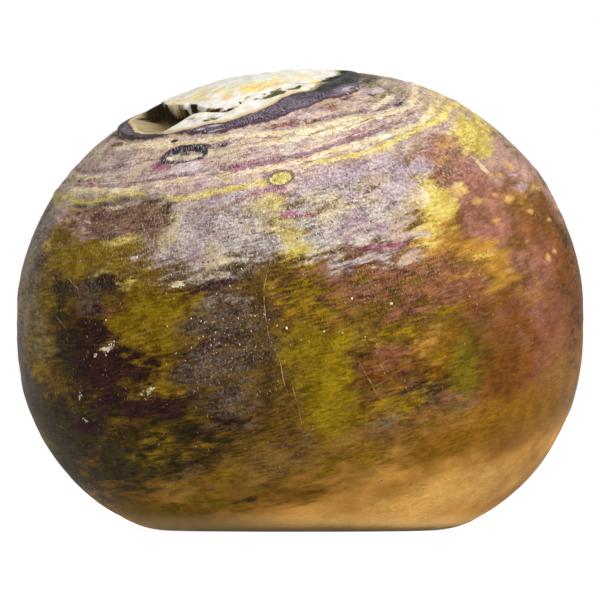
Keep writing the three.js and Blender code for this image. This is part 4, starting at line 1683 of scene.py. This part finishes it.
scatterTree = makeScatterTree()
for pieceName, setup in flecks.items():
    values = dict(setup, Zone=pieceName, Material=makeFleckMaterial(pieceName, setup["dark"], setup["light"]))
    growPiece(pieceName, skinData, scatterTree, values)
crumbValues = dict(crumbs, Skin=skin, Material=makeFleckMaterial("waxCrumbs", **crumbTones))
growPiece("waxCrumbs", crumbMesh(), makeCrumbTree(), crumbValues)
scratchValues = dict(scratches, Skin=skin, Material=makeFleckMaterial("scratches", **scratchTones))
growPiece("scratches", scratchMesh(), makeScratchTree(scratchShape), scratchValues)


# Floor, backdrop and light

studio = dict(
    worldLevel=0.4,
    keySize=0.3,
    keyPower=13.0,
    keyPlace=(0.62, -0.75, 0.85),
    fillSize=0.6,
    fillPower=0.8,
    fillPlace=(-0.6, -0.9, 0.6),
    floorSize=12.0,
    floorColour=0.85,
    floorLift=0.85,
)


def seenAsBackdrop(bench):
    # what the camera, gloss and clear things see
    path = bench.add("ShaderNodeLightPath").outputs
    seen = bench.calc("MAXIMUM", path["Is Camera Ray"], path["Is Glossy Ray"])
    return bench.calc("MAXIMUM", seen, path["Is Transmission Ray"])


def makeWorld(setup):
    world = bpy.data.worlds.new("studio")
    bench = NodeBench(clearedTree(world))
    level = bench.add("ShaderNodeBackground", {"Color": (1, 1, 1, 1), "Strength": setup["worldLevel"]})
    white = bench.add("ShaderNodeBackground", {"Color": (1, 1, 1, 1), "Strength": 1.0})
    mixed = bench.add("ShaderNodeMixShader", {"Fac": seenAsBackdrop(bench)})
    bench.feed(mixed.inputs[1], level.outputs[0])
    bench.feed(mixed.inputs[2], white.outputs[0])
    bench.add("ShaderNodeOutputWorld", {"Surface": mixed.outputs[0]})
    bpy.context.scene.world = world


def makeFloor(setup):
    half = setup["floorSize"] / 2
    mesh = bpy.data.meshes.new("studioFloor")
    corners = [(-half, -half, 0), (half, -half, 0), (half, half, 0), (-half, half, 0)]
    mesh.from_pydata(corners, [], [(0, 1, 2, 3)])
    floor = addObject("studioFloor", mesh)
    material = bpy.data.materials.new("paleFloor")
    bench = NodeBench(clearedTree(material))
    matt = bench.add("ShaderNodeBsdfDiffuse", {"Color": (*[setup["floorColour"]] * 3, 1)})
    lift = bench.times(seenAsBackdrop(bench), setup["floorLift"])
    glow = bench.add("ShaderNodeEmission", {"Color": (1, 1, 1, 1), "Strength": lift})
    both = bench.add("ShaderNodeAddShader")
    bench.feed(both.inputs[0], matt.outputs[0])
    bench.feed(both.inputs[1], glow.outputs[0])
    bench.add("ShaderNodeOutputMaterial", {"Surface": both.outputs[0]})
    mesh.materials.append(material)


def makeLamp(name, place, size, power):
    data = bpy.data.lights.new(name, "AREA")
    data.shape = "DISK"
    data.size = size
    data.energy = power
    aimAtRoot(addObject(name, data, place))


makeWorld(studio)
makeFloor(studio)
makeLamp("keyLamp", studio["keyPlace"], studio["keySize"], studio["keyPower"])
makeLamp("fillLamp", studio["fillPlace"], studio["fillSize"], studio["fillPower"])
bpy.context.scene.view_settings.view_transform = "Standard"
print("rutabaga: floor and light made")

print("rutabaga: finished")
